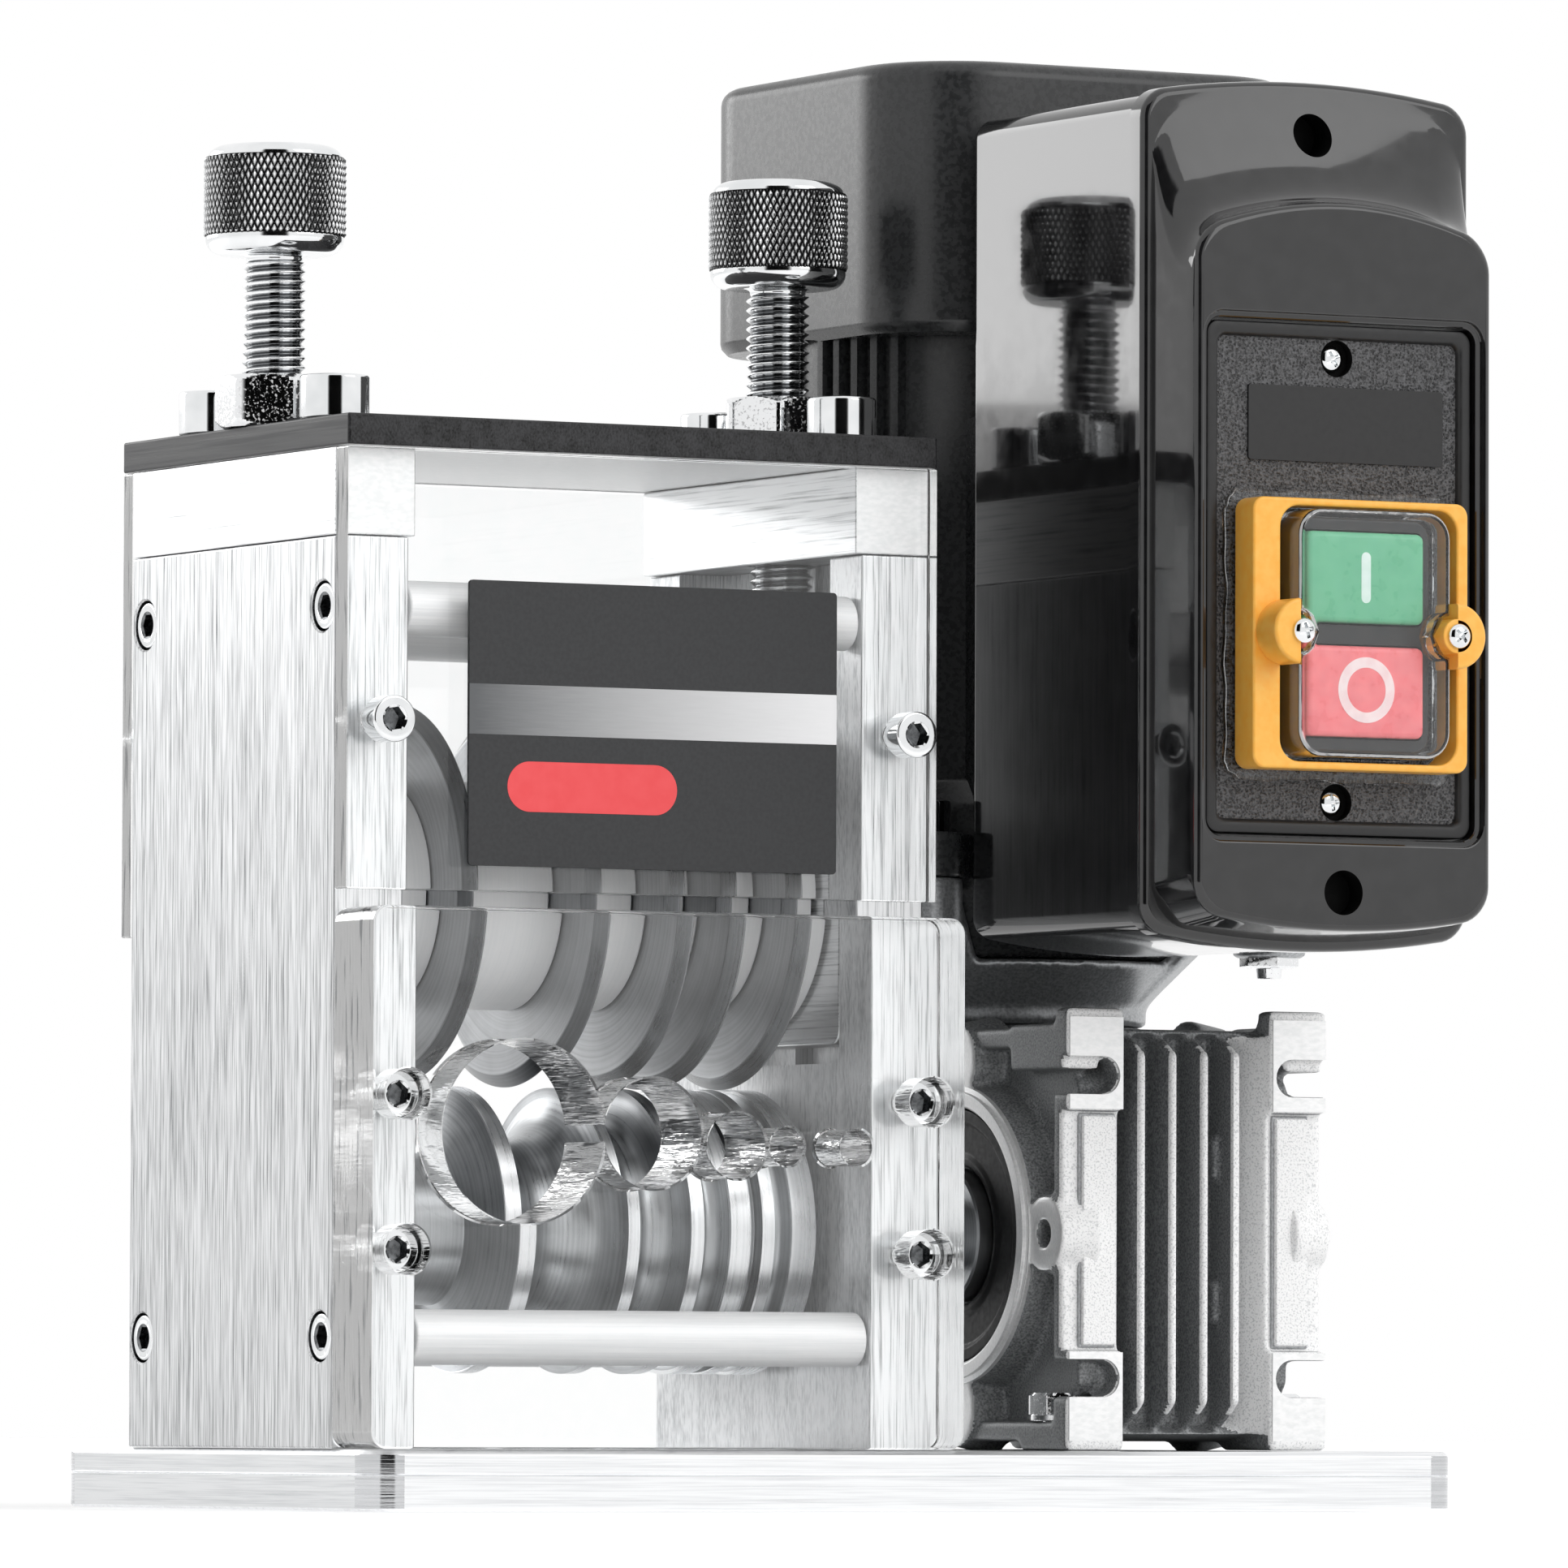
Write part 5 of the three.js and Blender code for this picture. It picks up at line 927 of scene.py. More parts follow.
def slotTool(side, z):
    # a U-slot that opens towards the side
    x0 = gear["x"] + side * (gear["halfWidth"] - gear["slotReach"])
    x1 = gear["x"] + side * (gear["halfWidth"] + 4)
    middle, wide = (x0 + x1) / 2, abs(x1 - x0)
    return slab("tool", "y", gear["front"] - 2, gear["front"] + 7.2, lambda i: roundedLoop(
        wide, 2 * gear["slot"], gear["slot"] - 0.01, (middle, z), 8), 0)


def pocketTool():
    # a well between the columns whose right wall and ends slant inwards
    left, rows = gear["pocketLeft"], []
    ends = ((gear["front"] - 2, 17.25, 0.1, 0.6), (gear["front"] + gear["well"], 10.6, 4.4, 3.5))
    for y, right, low, high in ends:
        middle = (gear["x"] + (right - left) / 2, gear["z"] + (low - high) / 2)
        rows.append(standing(roundedLoop(right + left, 2 * gear["half"] - low - high, 0.6, middle, 3), y, "y"))
    return skin("tool", rows)


def gearboxCore():
    # the column's middle: a core, its lid with the well, the worm's drum, a wedge, fins and tabs
    x, z, front, low, high = gearLimits
    face, back, c = front + gear["pad"], axisY + gear["worm"], gear["slope"]
    foot, roof, deep = low + 1.6, high - 1.6, front + gear["well"] + 3
    core = outlineOf([(face, low + c), (face + c, foot), (back, foot), (back, roof), (face + c, roof),
                      (face, high - c)])
    lid = outlineOf([(face, low + 3), (face + c, foot), (face + c, roof), (face, high - 1.9)])
    shells = [carved(slab("core", "x", x - half, x + half, lambda i: shape, 0), [pocketTool()])
              for half, shape in ((gear["core"], core), (gear["lid"], lid))]
    shells.append(pipe("z", foot, high, gear["wormRadius"], (x, back), 96))
    wedge = np.array([(x + 15.9, front + 0.7), (x + 16.6, face + 0.4), (x + 13.1, face + 0.4)])
    shells.append(slab("wedge", "z", low + 3, high - 3, lambda i: wedge, 0))
    fin = outlineOf([(deep, low + 3.2), (front + 7.4, low + 3.8), (front + 0.5, z - 31.4), (front + 0.5, z + 33.6),
                     (front + 7.4, high - 2.4), (deep, high - 2)], 0.5)
    for offset in gear["fins"]:
        shells.append(slab("fin", "x", x + offset - gear["fin"], x + offset + gear["fin"], lambda i: fin, 0))
    for under, over in gear["tabs"]:
        shells.append(block("tab", (x + 6.4, x + 8.2), (front + 5.5, front + 9), (z + under, z + over), 0.4, 0.3))
    return shells


def gearboxShells():
    # the middle, and on each side the pads with their slots, feet, shelf, ring boss, shoulder and four lugs
    x, z, front, low, high = gearLimits
    face, rear, shells = front + gear["pad"], axisY + gear["rear"], gearboxCore()
    for side in (-1, 1):
        out = lambda d: x + side * d
        limits = lambda a, b: tuple(sorted((out(a), out(b))))
        wide = limits(gear["halfWidth"] - gear["padWidth"], gear["halfWidth"])
        for y, height, slots in (
                ((front + 0.1, face), (high - gear["padTop"], high), True),
                ((front + 0.1, face), (low, low + gear["padLow"]), True),
                ((front + 2.4, face + 0.6), (low, high), True),
                ((front + 0.4, face), (high - 6, high + 1.8), False),
                ((front, front + gear["padLow"]), (low, low + gear["pad"]), False),
                ((rear - gear["padTop"], rear), (low, low + gear["pad"]), False),
                ((front, rear), (low + 1.6, low + gear["pad"]), False),
                ((front, rear - gear["padLow"]), (high - gear["pad"], high - 1.6), False)):
            part = block("pad", wide, y, height, 0.6)
            shells.append(carved(part, [slotTool(side, z + s) for s in gear["slotZ"]]) if slots else part)
        root, boss, well, ring = out(20), out(gear["ringFace"] - 1.2), out(gear["ringFace"] - 3.2), gear["ring"]
        seat = [(0, root), (ring + 2.4, root), (ring + 0.2, boss), (ring - 3.7, boss), (ring - 3.7, well), (0, well)]
        shells.append(turned("boss", "x", seat, (axisY, z)))
        shells.append(block("shoulder", limits(20, gear["halfWidth"]), (front + 2, front + 22),
                            (high - 9.5, high - 1), 0.6))
        for turn in np.arange(4) * math.pi / 2:
            centre = (axisY + math.cos(turn) * gear["lug"], z + math.sin(turn) * gear["lug"])
            lug = turned("lug", "x", [(0, out(18)), (8.6, out(21)), (7, out(29)), (0, out(29))], centre, 48)
            shells.append(carved(lug, [pipe("x", out(20), out(31), gear["lugHole"], centre, 32)]))
    return shells


def padFace(side, low, high, slot):
    # a machined face with the U-slot's outline in it
    x0 = gear["x"] + side * (gear["halfWidth"] - gear["padWidth"] + 0.5)
    x1 = gear["x"] + side * (gear["halfWidth"] - 0.4)
    r = gear["slot"] + 0.15
    inner = gear["x"] + side * (gear["halfWidth"] - gear["slotReach"] + gear["slot"])
    a = np.linspace(-math.pi / 2, -3 * math.pi / 2, 13)
    notch = np.stack([inner + side * r * np.cos(a), slot + r * np.sin(a)], 1)
    points = np.concatenate([[(x0, low), (x1, low), (x1, slot - r)], notch, [(x1, slot + r), (x1, high), (x0, high)]])
    return coated(slab("face", "y", gear["front"] - 0.02, gear["front"] + 0.9, lambda i: points, 0, 1), machined)


def gearboxBody():
    x, z, front, low, high = gearLimits
    (slotLow, slotHigh), r, inside = gear["slotZ"], gear["ring"], gear["ring"] - gear["wall"]
    body = coated(casting("gearboxCasting", gearboxShells(), gear["voxel"], gear["relax"]), sandCast)
    # painted light: front faces, the left flanks of the wedge and fins near the front, and the raised panels take the
    # lighter casting
    faced(body, castPaintedLight, lambda c, n: (n[:, 1] < -0.3) & (c[:, 1] < front + 3.4))
    faced(body, castPaintedLight, lambda c, n: (n[:, 0] < -0.5) & (c[:, 1] < front + 10) & (
        c[:, 0] > x + 9.9) & (c[:, 0] < x + 16.4) & (np.abs(c[:, 2] - z) < gear["half"] - 3))
    faced(body, machined, lambda c, n: (np.abs(n[:, 0]) > 0.8) & (np.abs(c[:, 0] - x) > 28.5))
    faced(body, castPaintedLight, lambda c, n: (n[:, 0] < -0.5) & (c[:, 1] < front + 1.3) & (np.abs(c[:, 0] - x) < 13))
    faces = []
    for side in (-1, 1):
        faces.append(padFace(side, high - gear["padTop"] + 0.3, high + 0.1, z + slotHigh))
        faces.append(padFace(side, low + 1.7, low + gear["padLow"] - 0.3, z + slotLow))
        left, right = sorted(x + side * (gear["halfWidth"] - d) for d in gear["panelX"])
        under, over = (z + d for d in gear["panelZ"])
        # painted shade: a darker rim just behind each raised panel stands in for the shadow round it
        for name, grow, y, corner, edge, finish in (("panelShadowRim", 0.45, (front + 1.6, front + 3.4), 0.3, 0.2, flangeCast),
                                                    ("panel", 0, (front + 0.7, front + 3.5), 0.5, 0.35, castPaintedLight)):
            z0, z1 = under - grow, over + grow
            faces.append(coated(block(name, (left - grow, right + grow), y, (z0, z1), corner, edge), finish))
        at = lambda d: x + side * (gear["ringFace"] - d)
        ring = softened([(inside - 0.5, at(6)), (r + 0.3, at(6)), (r + 0.3, at(0.9)), (r - 0.7, at(0.8)),
                         (r - 0.7, at(0)), (inside + 0.6, at(0)), (inside, at(0.6)), (inside, at(5.9))], 0.2, 2)
        faces.append(coated(turned("ring", "x", ring, (axisY, z), 128, True, sharp=25), machined))
    return together("gearboxHousing", [body] + faces)


seal = {"inner": 12.9, "outer": 23.7, "dish": ((23.7, 0), (21.6, 0), (20.6, 0.9), (15.6, 0.9), (14.6, 0.3),
                                               (13.6, 0.5), (12.9, 1.0))}
footHead = {"height": 4, "shank": 3.1, "washer": 5.45, "flats": 10, "corner": 6}


def outputSeal(name, node, side):
    # a dished rubber face between an outer rim and the lip round the sleeve
    low, high = spanOf(node)
    face, back = (low[0], high[0]) if side < 0 else (high[0], low[0])
    inner, outer = seal["inner"], seal["outer"]
    stations = [(r, face - side * d) for r, d in seal["dish"]]
    stations = softened([(inner, back), (outer, back), *stations, (inner, back)], 0.3, 3)
    return turned(name, "x", stations, (axisY, gear["z"]), 96, True)


def plainRing(name, node, inner, outer, centre):
    low, high = spanOf(node)
    stations = [(inner, low[0]), (outer - 0.4, low[0]), (outer, low[0] + 0.4), (outer, high[0] - 0.4),
                (outer - 0.4, high[0]), (inner, high[0])]
    return turned(name, "x", stations, centre, 96, True, sharp=25)


def footBolt(name, node, turn):
    # shank, washer and a chamfered hexagon head
    low, high = spanOf(node)
    centre = ((low + high) / 2)[:2]
    top, washer = high[2], high[2] - footHead["height"]
    shank, ring, flats, corner = (footHead[k] for k in ("shank", "washer", "flats", "corner"))
    stations = [(0, low[2]), (shank, low[2]), (shank, washer - 1.2), (ring - 0.15, washer - 1.2),
                (ring, washer - 1.05), (ring, washer - 0.15), (ring - 0.15, washer), (corner, washer, flats),
                (corner, top - 0.5, flats), (4.9, top, flats), (4, top), (3.6, top - 0.3), (0, top - 0.3)]
    return turned(name, "z", stations, centre, 72, turn=turn, sharp=25)


present(gearboxBody(), None, "gearbox_housing")
for side, hand in ((-1, "left"), (1, "right")):
    node = "output_seal_" + hand
    present(outputSeal("outputSeal" + hand.title(), node, side), rubber, node)
    node = "gearbox_foot_bolt_" + hand
    present(footBolt("footBolt" + hand.title(), node, 0.4 * side), speckledSteel, node)
present(plainRing("outputSleeve", "output_sleeve", 7.1, 12.5, (axisY, gear["z"])), rollerSteel, "output_sleeve")
print("gearbox made")

# Input flange and motor

motor = {"x": 67.1, "y": 28.05, "radius": 41.5, "neck": 28, "bowl": 34.5, "bowlHeight": 12.2, "earPitch": 53,
         "earRadius": 7, "earLow": 13, "earTop": 26.6, "arm": 9, "armReach": (24, 50), "nut": 10, "shield": 45,
         "shieldLine": ((0, 12.4), (33, 12.4), (45, 24.4), (45, 40.2), (41.8, 46), (0, 46)), "lug": (26.75, 35.15),
         "shellLow": 45.9, "rib": 2.4, "ribAngles": (57, 63, 69, 75, 81), "ribHalf": 1.15, "padHalf": 26,
         "padZ": (121.15, 205)}
motorMiddle = (motor["x"], motor["y"])
gearTop = gear["z"] + gear["half"]
earPlaces = [math.pi / 4 + k * math.pi / 2 for k in range(4)]


def earAt(turn):
    return motor["x"] + motor["earPitch"] * math.cos(turn), motor["y"] + motor["earPitch"] * math.sin(turn)


def armSection(loop, reach, turn):
    # a section across an arm, at a distance from the motor's axis
    return np.stack([motor["x"] + reach * math.cos(turn) - loop[:, 0] * math.sin(turn),
                     motor["y"] + reach * math.sin(turn) + loop[:, 0] * math.cos(turn), loop[:, 1]], 1)


def flangeArm(turn):
    # sections across the arm, from the neck out to the ear, at growing distance from the axis
    first, last = motor["armReach"]
    reach = first + (last - first) * np.linspace(0, 1, 13)
    lowEdge = np.clip(3.8 + (reach - motor["neck"]) * 0.95, 3.8, 17)
    topEdge = np.clip(lowEdge + 8.5, motor["bowlHeight"], motor["earTop"])
    return skin("arm", [armSection(roundedLoop(motor["arm"], b - a, 1.5, (0, gearTop + (a + b) / 2), 3), d, turn)
                        for d, a, b in zip(reach, lowEdge, topEdge)])


def inputFlange():
    at = lambda h: gearTop + h
    neck, bowl, ear, shield = motor["neck"], motor["bowl"], motor["earRadius"], motor["shield"]
    rise, under, top, flats = motor["bowlHeight"], motor["earLow"], motor["earTop"], motor["nut"]
    line = [(0, at(0.15)), (neck, at(0.15)), (neck, at(3.8)), (bowl, at(11.2)), (bowl, at(rise)), (0, at(rise))]
    shells = [turned("bowl", "z", line, motorMiddle)]
    steel = []
    for turn in earPlaces:
        centre = earAt(turn)
        shells.append(flangeArm(turn))
        post = [(0, at(under)), (ear - 0.6, at(under)), (ear, at(under + 0.8)), (ear, at(top)), (0, at(top))]
        shells.append(turned("ear", "z", post, centre, 48))
        stud = softened([(0, at(under - 3.9)), (2.3, at(under - 3.9)), (2.5, at(under - 1.8)),
                         (4.3, at(under - 1.9))], 0.2)
        hexagon = [(4.3, at(under - 1.9), flats), (6, at(under - 1.5), flats), (6, at(under + 0.1), flats),
                   (0, at(under + 0.1), flats)]
        steel.append(coated(turned("nut", "z", stud + hexagon, centre, 48, turn=0.25, sharp=25), speckledSteel))
    room = turned("tool", "z", [(0, at(rise)), (shield - 11.5, at(rise)), (shield + 0.5, at(rise + 12.2)),
                                (shield + 0.5, at(40)), (0, at(40))], motorMiddle)
    body = coated(casting("flange", shells, 0.8, 3), flangeCast)
    return together("inputFlange", [carved(body, [room], sharp=60)] + steel)


def motorBody():
    # r(a) = shell radius, raised by a rib's height within each rib's width
    low, high = spanOf("motor_body")
    a = np.arange(1080) * 2 * math.pi / 1080
    around = np.degrees((a + math.pi / 2) % (2 * math.pi))
    raised = np.zeros(len(a))
    for angle in motor["ribAngles"]:
        for middle in (angle, 360 - angle, 180 - angle, 180 + angle):
            away = np.abs((around - middle + 180) % 360 - 180)
            raised = np.maximum(raised, np.clip((motor["ribHalf"] * 1.35 - away) / 0.45, 0, 1))
    at = lambda h: gearTop + h
    bottom, top = at(motor["shellLow"]), high[2]
    rows = []
    for z, share in ((bottom - 1, 0), (bottom, 0), (bottom + 0.6, 1), (top - 1.6, 1), (top - 1, 0), (top, 0)):
        r = motor["radius"] + motor["rib"] * raised * share
        rows.append(standing(np.stack([motor["x"] + r * np.cos(a), motor["y"] + r * np.sin(a)], 1), z, "z"))
    shield = softened([(r, at(h)) for r, h in motor["shieldLine"]], 1.2, 4)
    parts = [skin("shell", rows, sharp=30), turned("shield", "z", shield, motorMiddle, 128)]
    earLow, earHigh = (at(h) for h in motor["lug"])
    for turn in earPlaces:
        ear = softened([(0, earLow), (7, earLow), (7, earHigh), (0, earHigh)], 0.7)
        parts.append(turned("ear", "z", ear, earAt(turn), 48))
        loop = roundedLoop(14, 8.4, 0.7, (0, at(sum(motor["lug"]) / 2)), 3)
        parts.append(skin("link", [armSection(loop, d, turn) for d in (30, motor["earPitch"])]))
        head = softened([(0, at(34)), (4.8, at(34)), (4.8, at(41.15)), (3, at(41.15))], 0.5)
        head += [(3, at(41), 5), (3, at(37.8), 5), (0, at(37.4))]
        parts.append(coated(turned("screw", "z", head, earAt(turn), 60), polished))
    half = motor["padHalf"]
    parts.append(block("pad", (motor["x"] - half, motor["x"] + half), (low[1], 20), motor["padZ"], 3, 0.8))
    for part in parts:
        if not part.data.materials:
            coated(part, motorPaint)
    return together("motorBody", parts)


fan = {"corner": 21.3, "edge": 3.2, "lip": 1.4, "mouth": 44.3, "deep": 1.6, "grooveWidth": 3.2,
       "grooves": (12, 19, 26, 33)}


def fanCover():
    # a rounded square carried up, drawn in at the lip and rounded over the top, with ring slots on top
    low, high = spanOf("fan_cover")
    middle, half = (low + high)[:2] / 2, (high - low)[:2] / 2
    bottom, top = low[2], high[2]
    turn = sweep(5)
    insets = np.concatenate([[fan["lip"] + 1.2, fan["lip"], 0.25, 0], fan["edge"] * (1 - np.cos(turn))])
    places = np.concatenate([bottom + np.array([0, 0, 1.2, 2.2]), top - fan["edge"] * (1 - np.sin(turn))])
    outline = lambda i: roundedLoop(2 * (half[0] - i), 2 * (half[1] - i), fan["corner"] - i, middle, 14)
    body = skin("fanCover", [standing(outline(i), z, "z") for i, z in zip(insets, places)])
    tools = [pipe("z", top - fan["deep"], top + 1, r + fan["grooveWidth"], middle, 96, r) for r in fan["grooves"]]
    tools.append(pipe("z", bottom - 1, bottom + 3.1, fan["mouth"], middle, 96))
    return carved(body, tools)


present(inputFlange(), None, "input_flange")
present(motorBody(), None, "motor_body")
present(fanCover(), motorPaint, "fan_cover")
print("flange and motor made")

# Control box: arched body, and a cover whose raised panel ramps up and sinks into the switch recess

box = {"x": 67, "low": 105.8, "width": 70, "height": 153.6, "arch": 3.2, "corner": 5, "bodyCorner": 3.6,
       "bodyEdge": 2.6, "step": 0.8, "edge": 1.5, "back": -20, "bodyFront": -79.5, "coverBack": -79.65,
       "coverFront": -85.05, "panelFront": -98.55, "panelTop": 127.5, "panelArch": 6, "panelEdge": 1.3, "ramp": 21,
       "draft": 3.2, "panelCorner": 5.5, "recess": (57.5, 94.5), "recessLow": 17.2, "recessDepth": 5.5,
       "recessCorner": 3, "holeRadius": 4.1}
plateRim = {"height": 3.4, "sink": 1.2, "strip": (41.6, 13.8), "stripMiddle": (box["x"] + 1.8, 198.7),
            "seat": 3.4, "screws": ((210.9, 0.5), (129.6, 0.2))}


def archedLoop(width, low, high, arch, corner, lowArch=None):
    # v grows by arch * (1 - (2u / width)^2) towards the top and falls the same way towards the bottom
    loop = roundedLoop(width, high - low, corner, (0, (low + high) / 2), 8, 14)
    across = 1 - (2 * loop[:, 0] / width) ** 2
    share = np.clip((loop[:, 1] - (low + high) / 2) / ((high - low) / 2), -1, 1)
    drop = arch if lowArch is None else lowArch
    loop[:, 1] += across * np.where(share > 0, arch * share ** 3, drop * share ** 3)
    return loop + np.array([box["x"], box["low"]])


def boxRow(inset, y, corner=box["corner"]):
    return standing(archedLoop(box["width"] - 2 * inset, inset, box["height"] - inset, box["arch"],
                               corner - inset / 2), y, "y")


def controlBody():
    s, e, c = box["step"], box["bodyEdge"], box["bodyCorner"]
    rows = [boxRow(s + e * (1 - math.sin(t)), box["back"] - e * (1 - math.cos(t)), c) for t in sweep(4)]
    rows += [boxRow(s, box["bodyFront"] + 0.4, c), boxRow(s + 0.3, box["bodyFront"], c)]
    return skin("controlBody", rows)


def controlCover():
    # rows from the back edge over the rim and up the ramped panel, then down into the switch's recess
    e, front, panel, corner = box["edge"], box["coverFront"], box["panelFront"], box["panelCorner"]
    top, draft, ramp, rise, r = box["panelTop"], box["draft"], box["ramp"], front - panel, box["panelEdge"]
    rows = [boxRow(0.35, box["coverBack"]), boxRow(0, box["coverBack"] - 0.4)]
    rows += [boxRow(e * (1 - math.cos(t)), front + e * (1 - math.sin(t))) for t in sweep(4)]

    def panelRow(inset, height, y, corner):
        width = box["width"] - 2 * inset
        rows.append(standing(archedLoop(width, inset * 0.9, height, box["panelArch"], corner, 3.0), y, "y"))

    panelRow(e + 0.35, top + ramp + 0.6, front, corner + 2)
    for share in 0.86 * np.linspace(0.1, 1, 14) ** 1.6:
        panelRow(e + 0.4 + (draft - e) * share, top + ramp * (1 - share) ** 3.2, front - rise * share, corner + 2)
    for t in sweep(4):
        inward = r * (1 - math.cos(t))
        panelRow(draft + 0.3 + inward, top - inward, panel + r * (1 - math.sin(t)), corner)
    wide, tall = box["recess"]
    middle = (box["x"], box["low"] + box["recessLow"] + tall / 2)
    for grow, depth in ((1.5, 0), (1.2, 0.15), (1.1, 0.9), (0.9, 1.05), (0.2, 1.1), (0, 1.3),
                        (0, box["recessDepth"])):
        loop = roundedLoop(wide + 2 * grow, tall + 2 * grow, box["recessCorner"] + grow, middle, 8, 14)
        rows.append(standing(loop, panel + depth, "y"))
    hole, holes = box["holeRadius"], ((box["x"], 252.6, front), (box["x"] - 0.2, 113, panel))
    tools = [pipe("y", y - 6, y + 4.6, hole, (x, z), 64) for x, z, y in holes]
    cover = coated(carved(skin("controlCover", rows, sharp=30), tools, sharp=30), glossBlack)
    # painted shade: the hole walls are near-black
    for x, z, y in holes:
        faced(cover, holeShade, lambda c, n: (radial(c, "y", (x, z)) < hole + 0.05) & (
            (np.abs(n[:, 1]) < 0.3) | (c[:, 1] > y + 4)))
    return cover


def crossHead(y, centre, radius, height, turn):
    # a low dome with a cross recess: two tapered bars cut at right angles
    dome = softened([(0, y + height), (radius, y + height), (radius, y + height * 0.45), (radius * 0.6, y + 0.08),
                     (0, y)], radius * 0.3, 4)
    tools = []
    for a in (turn, turn + math.pi / 2):
        spin = np.array([(math.cos(a), math.sin(a)), (-math.sin(a), math.cos(a))])
        bar = lambda grow: roundedLoop(radius * 1.35 * grow, radius * 0.3 * grow, 0.06, (0, 0), 2) @ spin + centre
        tools.append(skin("tool", [standing(bar(grow), y + depth, "y")
                                   for depth, grow in ((-0.5, 1.15), (height * 0.75, 0.7))]))
    return coated(carved(turned("head", "y", dome, centre, 48), tools, sharp=30), polished)


def switchPlate():
    # a raised rounded rim round a sunk grained field, with a smooth blank strip above the switch
    high, middle, wide, tall = frontOf("switch_plate")[1:]
    back = high[1]
    front = back - plateRim["height"]
    field = front + plateRim["sink"]
    rows = [standing(roundedLoop(wide - 2 * inset, tall - 2 * inset, corner, middle, 8), y, "y")
            for inset, y, corner in ((0, back, 2.5), (0, front + 0.6, 2.5), (0.18, front + 0.18, 2.4),
                                     (0.6, front, 2.2), (1.7, front, 2.0), (2.2, front + 0.2, 1.8),
                                     (2.5, front + 0.6, 1.7), (2.7, field, 1.6))]
    sheet = coated(skin("sheet", rows, sharp=40), mattBlack)
    stripWide, stripTall = plateRim["strip"]
    strip = coated(slab("strip", "y", field - 0.45, field + 0.5, lambda i: roundedLoop(
        stripWide - 2 * i, stripTall - 2 * i, 0.6, plateRim["stripMiddle"], 3), 0.08, 2), mattBlack)
    seat, radius = back - 0.2, plateRim["seat"]
    tools = [pipe("y", field - 2, seat, radius, (box["x"], z)) for z, turn in plateRim["screws"]]
    heads = [crossHead(seat - 1.3, (box["x"] - 0.2, z), 2.4, 1.3, turn) for z, turn in plateRim["screws"]]
    sheet = carved(sheet, tools, sharp=40)
    # painted glints: the field's grain colour has light speckles where its bumps would catch the light
    faced(sheet, grainGlintBlack, lambda c, n: (n[:, 1] < -0.9) & (c[:, 1] > field - 0.05))
    # painted shade: the cup walls round the screw heads are near-black
    for z, turn in plateRim["screws"]:
        faced(sheet, holeShade, lambda c, n: (
            radial(c, "y", (box["x"], z)) < radius + 0.05) & (c[:, 1] > field + 0.05))
    return together("switchPlate", [sheet, strip] + heads)


present(controlBody(), glossBlack, "control_box_body")
present(controlCover(), None, "control_box_cover")
present(switchPlate(), None, "switch_plate")
print("control box made")

# Switch: gasket, guard frame with two ears, clear hood, housing and buttons

switch = {"z": 159.8, "window": (37.6, 46.6, 4), "shift": 1.7, "guard": (45.8, 49.4), "guardDepth": 6.9,
          "ear": 16.5, "earRadius": 6, "earDepth": 7, "hood": (32.2, 45.2, 5), "hoodWall": 0.9, "shelf": 5.2,
          "notch": 3.8, "spread": 10.4}
switchMiddle = (box["x"], switch["z"])
windowMiddle = (box["x"] + switch["shift"], switch["z"])
earMiddles = np.array([(box["x"] + side * switch["ear"], switch["z"]) for side in (-1, 1)])


def windowLoop(grow):
    wide, tall, corner = switch["window"]
    return roundedLoop(wide + 2 * grow, tall + 2 * grow, corner + grow, windowMiddle, 8, 8)


def switchGasket():
    # the bead wanders in and out a little: two sine waves along the edge
    low, high, middle, wide, tall = frontOf("switch_gasket")

    def outer(inset):
        loop = roundedLoop(wide - 2 * inset - 0.8, tall - 2 * inset - 0.8, 4 - inset, middle, 12, 24)
        step = np.arange(len(loop))
        push = 0.22 * np.sin(step * 0.53) + 0.16 * np.sin(step * 1.31 + 1)
        away = loop - np.array(middle)
        return loop + away / np.linalg.norm(away, axis=1)[:, None] * push[:, None]

    across, up, corner = switch["window"]
    window = lambda inset: roundedLoop(across - 2 * inset, up - 2 * inset, corner, windowMiddle, 12, 24)
    return windowed("switchGasket", "y", low[1], high[1], outer, window, 0.7, 4)


def switchGuard():
    low, high = spanOf("switch_guard")
    back, front = high[1], high[1] - switch["guardDepth"]
    guardWide, guardTall = switch["guard"]
    outer = lambda i: roundedLoop(guardWide - 2 * i, guardTall - 2 * i, 2.4 - i, switchMiddle, 8, 8)
    face, earRadius = front - switch["earDepth"], switch["earRadius"]
    wide, tall, corner = switch["hood"]
    leftTool = slab("tool", "y", face - 2, back, lambda i: windowLoop(0), 0)
    rightTool = slab("tool", "y", face - 2, front + 2, lambda i: roundedLoop(
        wide + 0.6, tall + 0.6, corner, switchMiddle), 0)
    parts = [windowed("rim", "y", front, back, outer, lambda i: windowLoop(-i), 0.5)]
    for centre, tool in zip(earMiddles, (leftTool, rightTool)):
        ear = softened([(0, face), (earRadius, face), (earRadius, front + 0.4), (0, front + 0.4)], 0.7)
        parts.append(carved(turned("ear", "y", ear, centre, 64), [tool]))
    boss = softened([(0, face), (3.2, face), (3.2, face + 6), (0, face + 6)], 0.3)
    parts.append(turned("boss", "y", boss, earMiddles[1], 48))
    for part in parts:
        coated(part, orange)
    parts += [crossHead(low[1], centre, 2.3, 1.5, turn) for centre, turn in zip(earMiddles, (0.3, 0.75))]
    return together("switchGuard", parts)


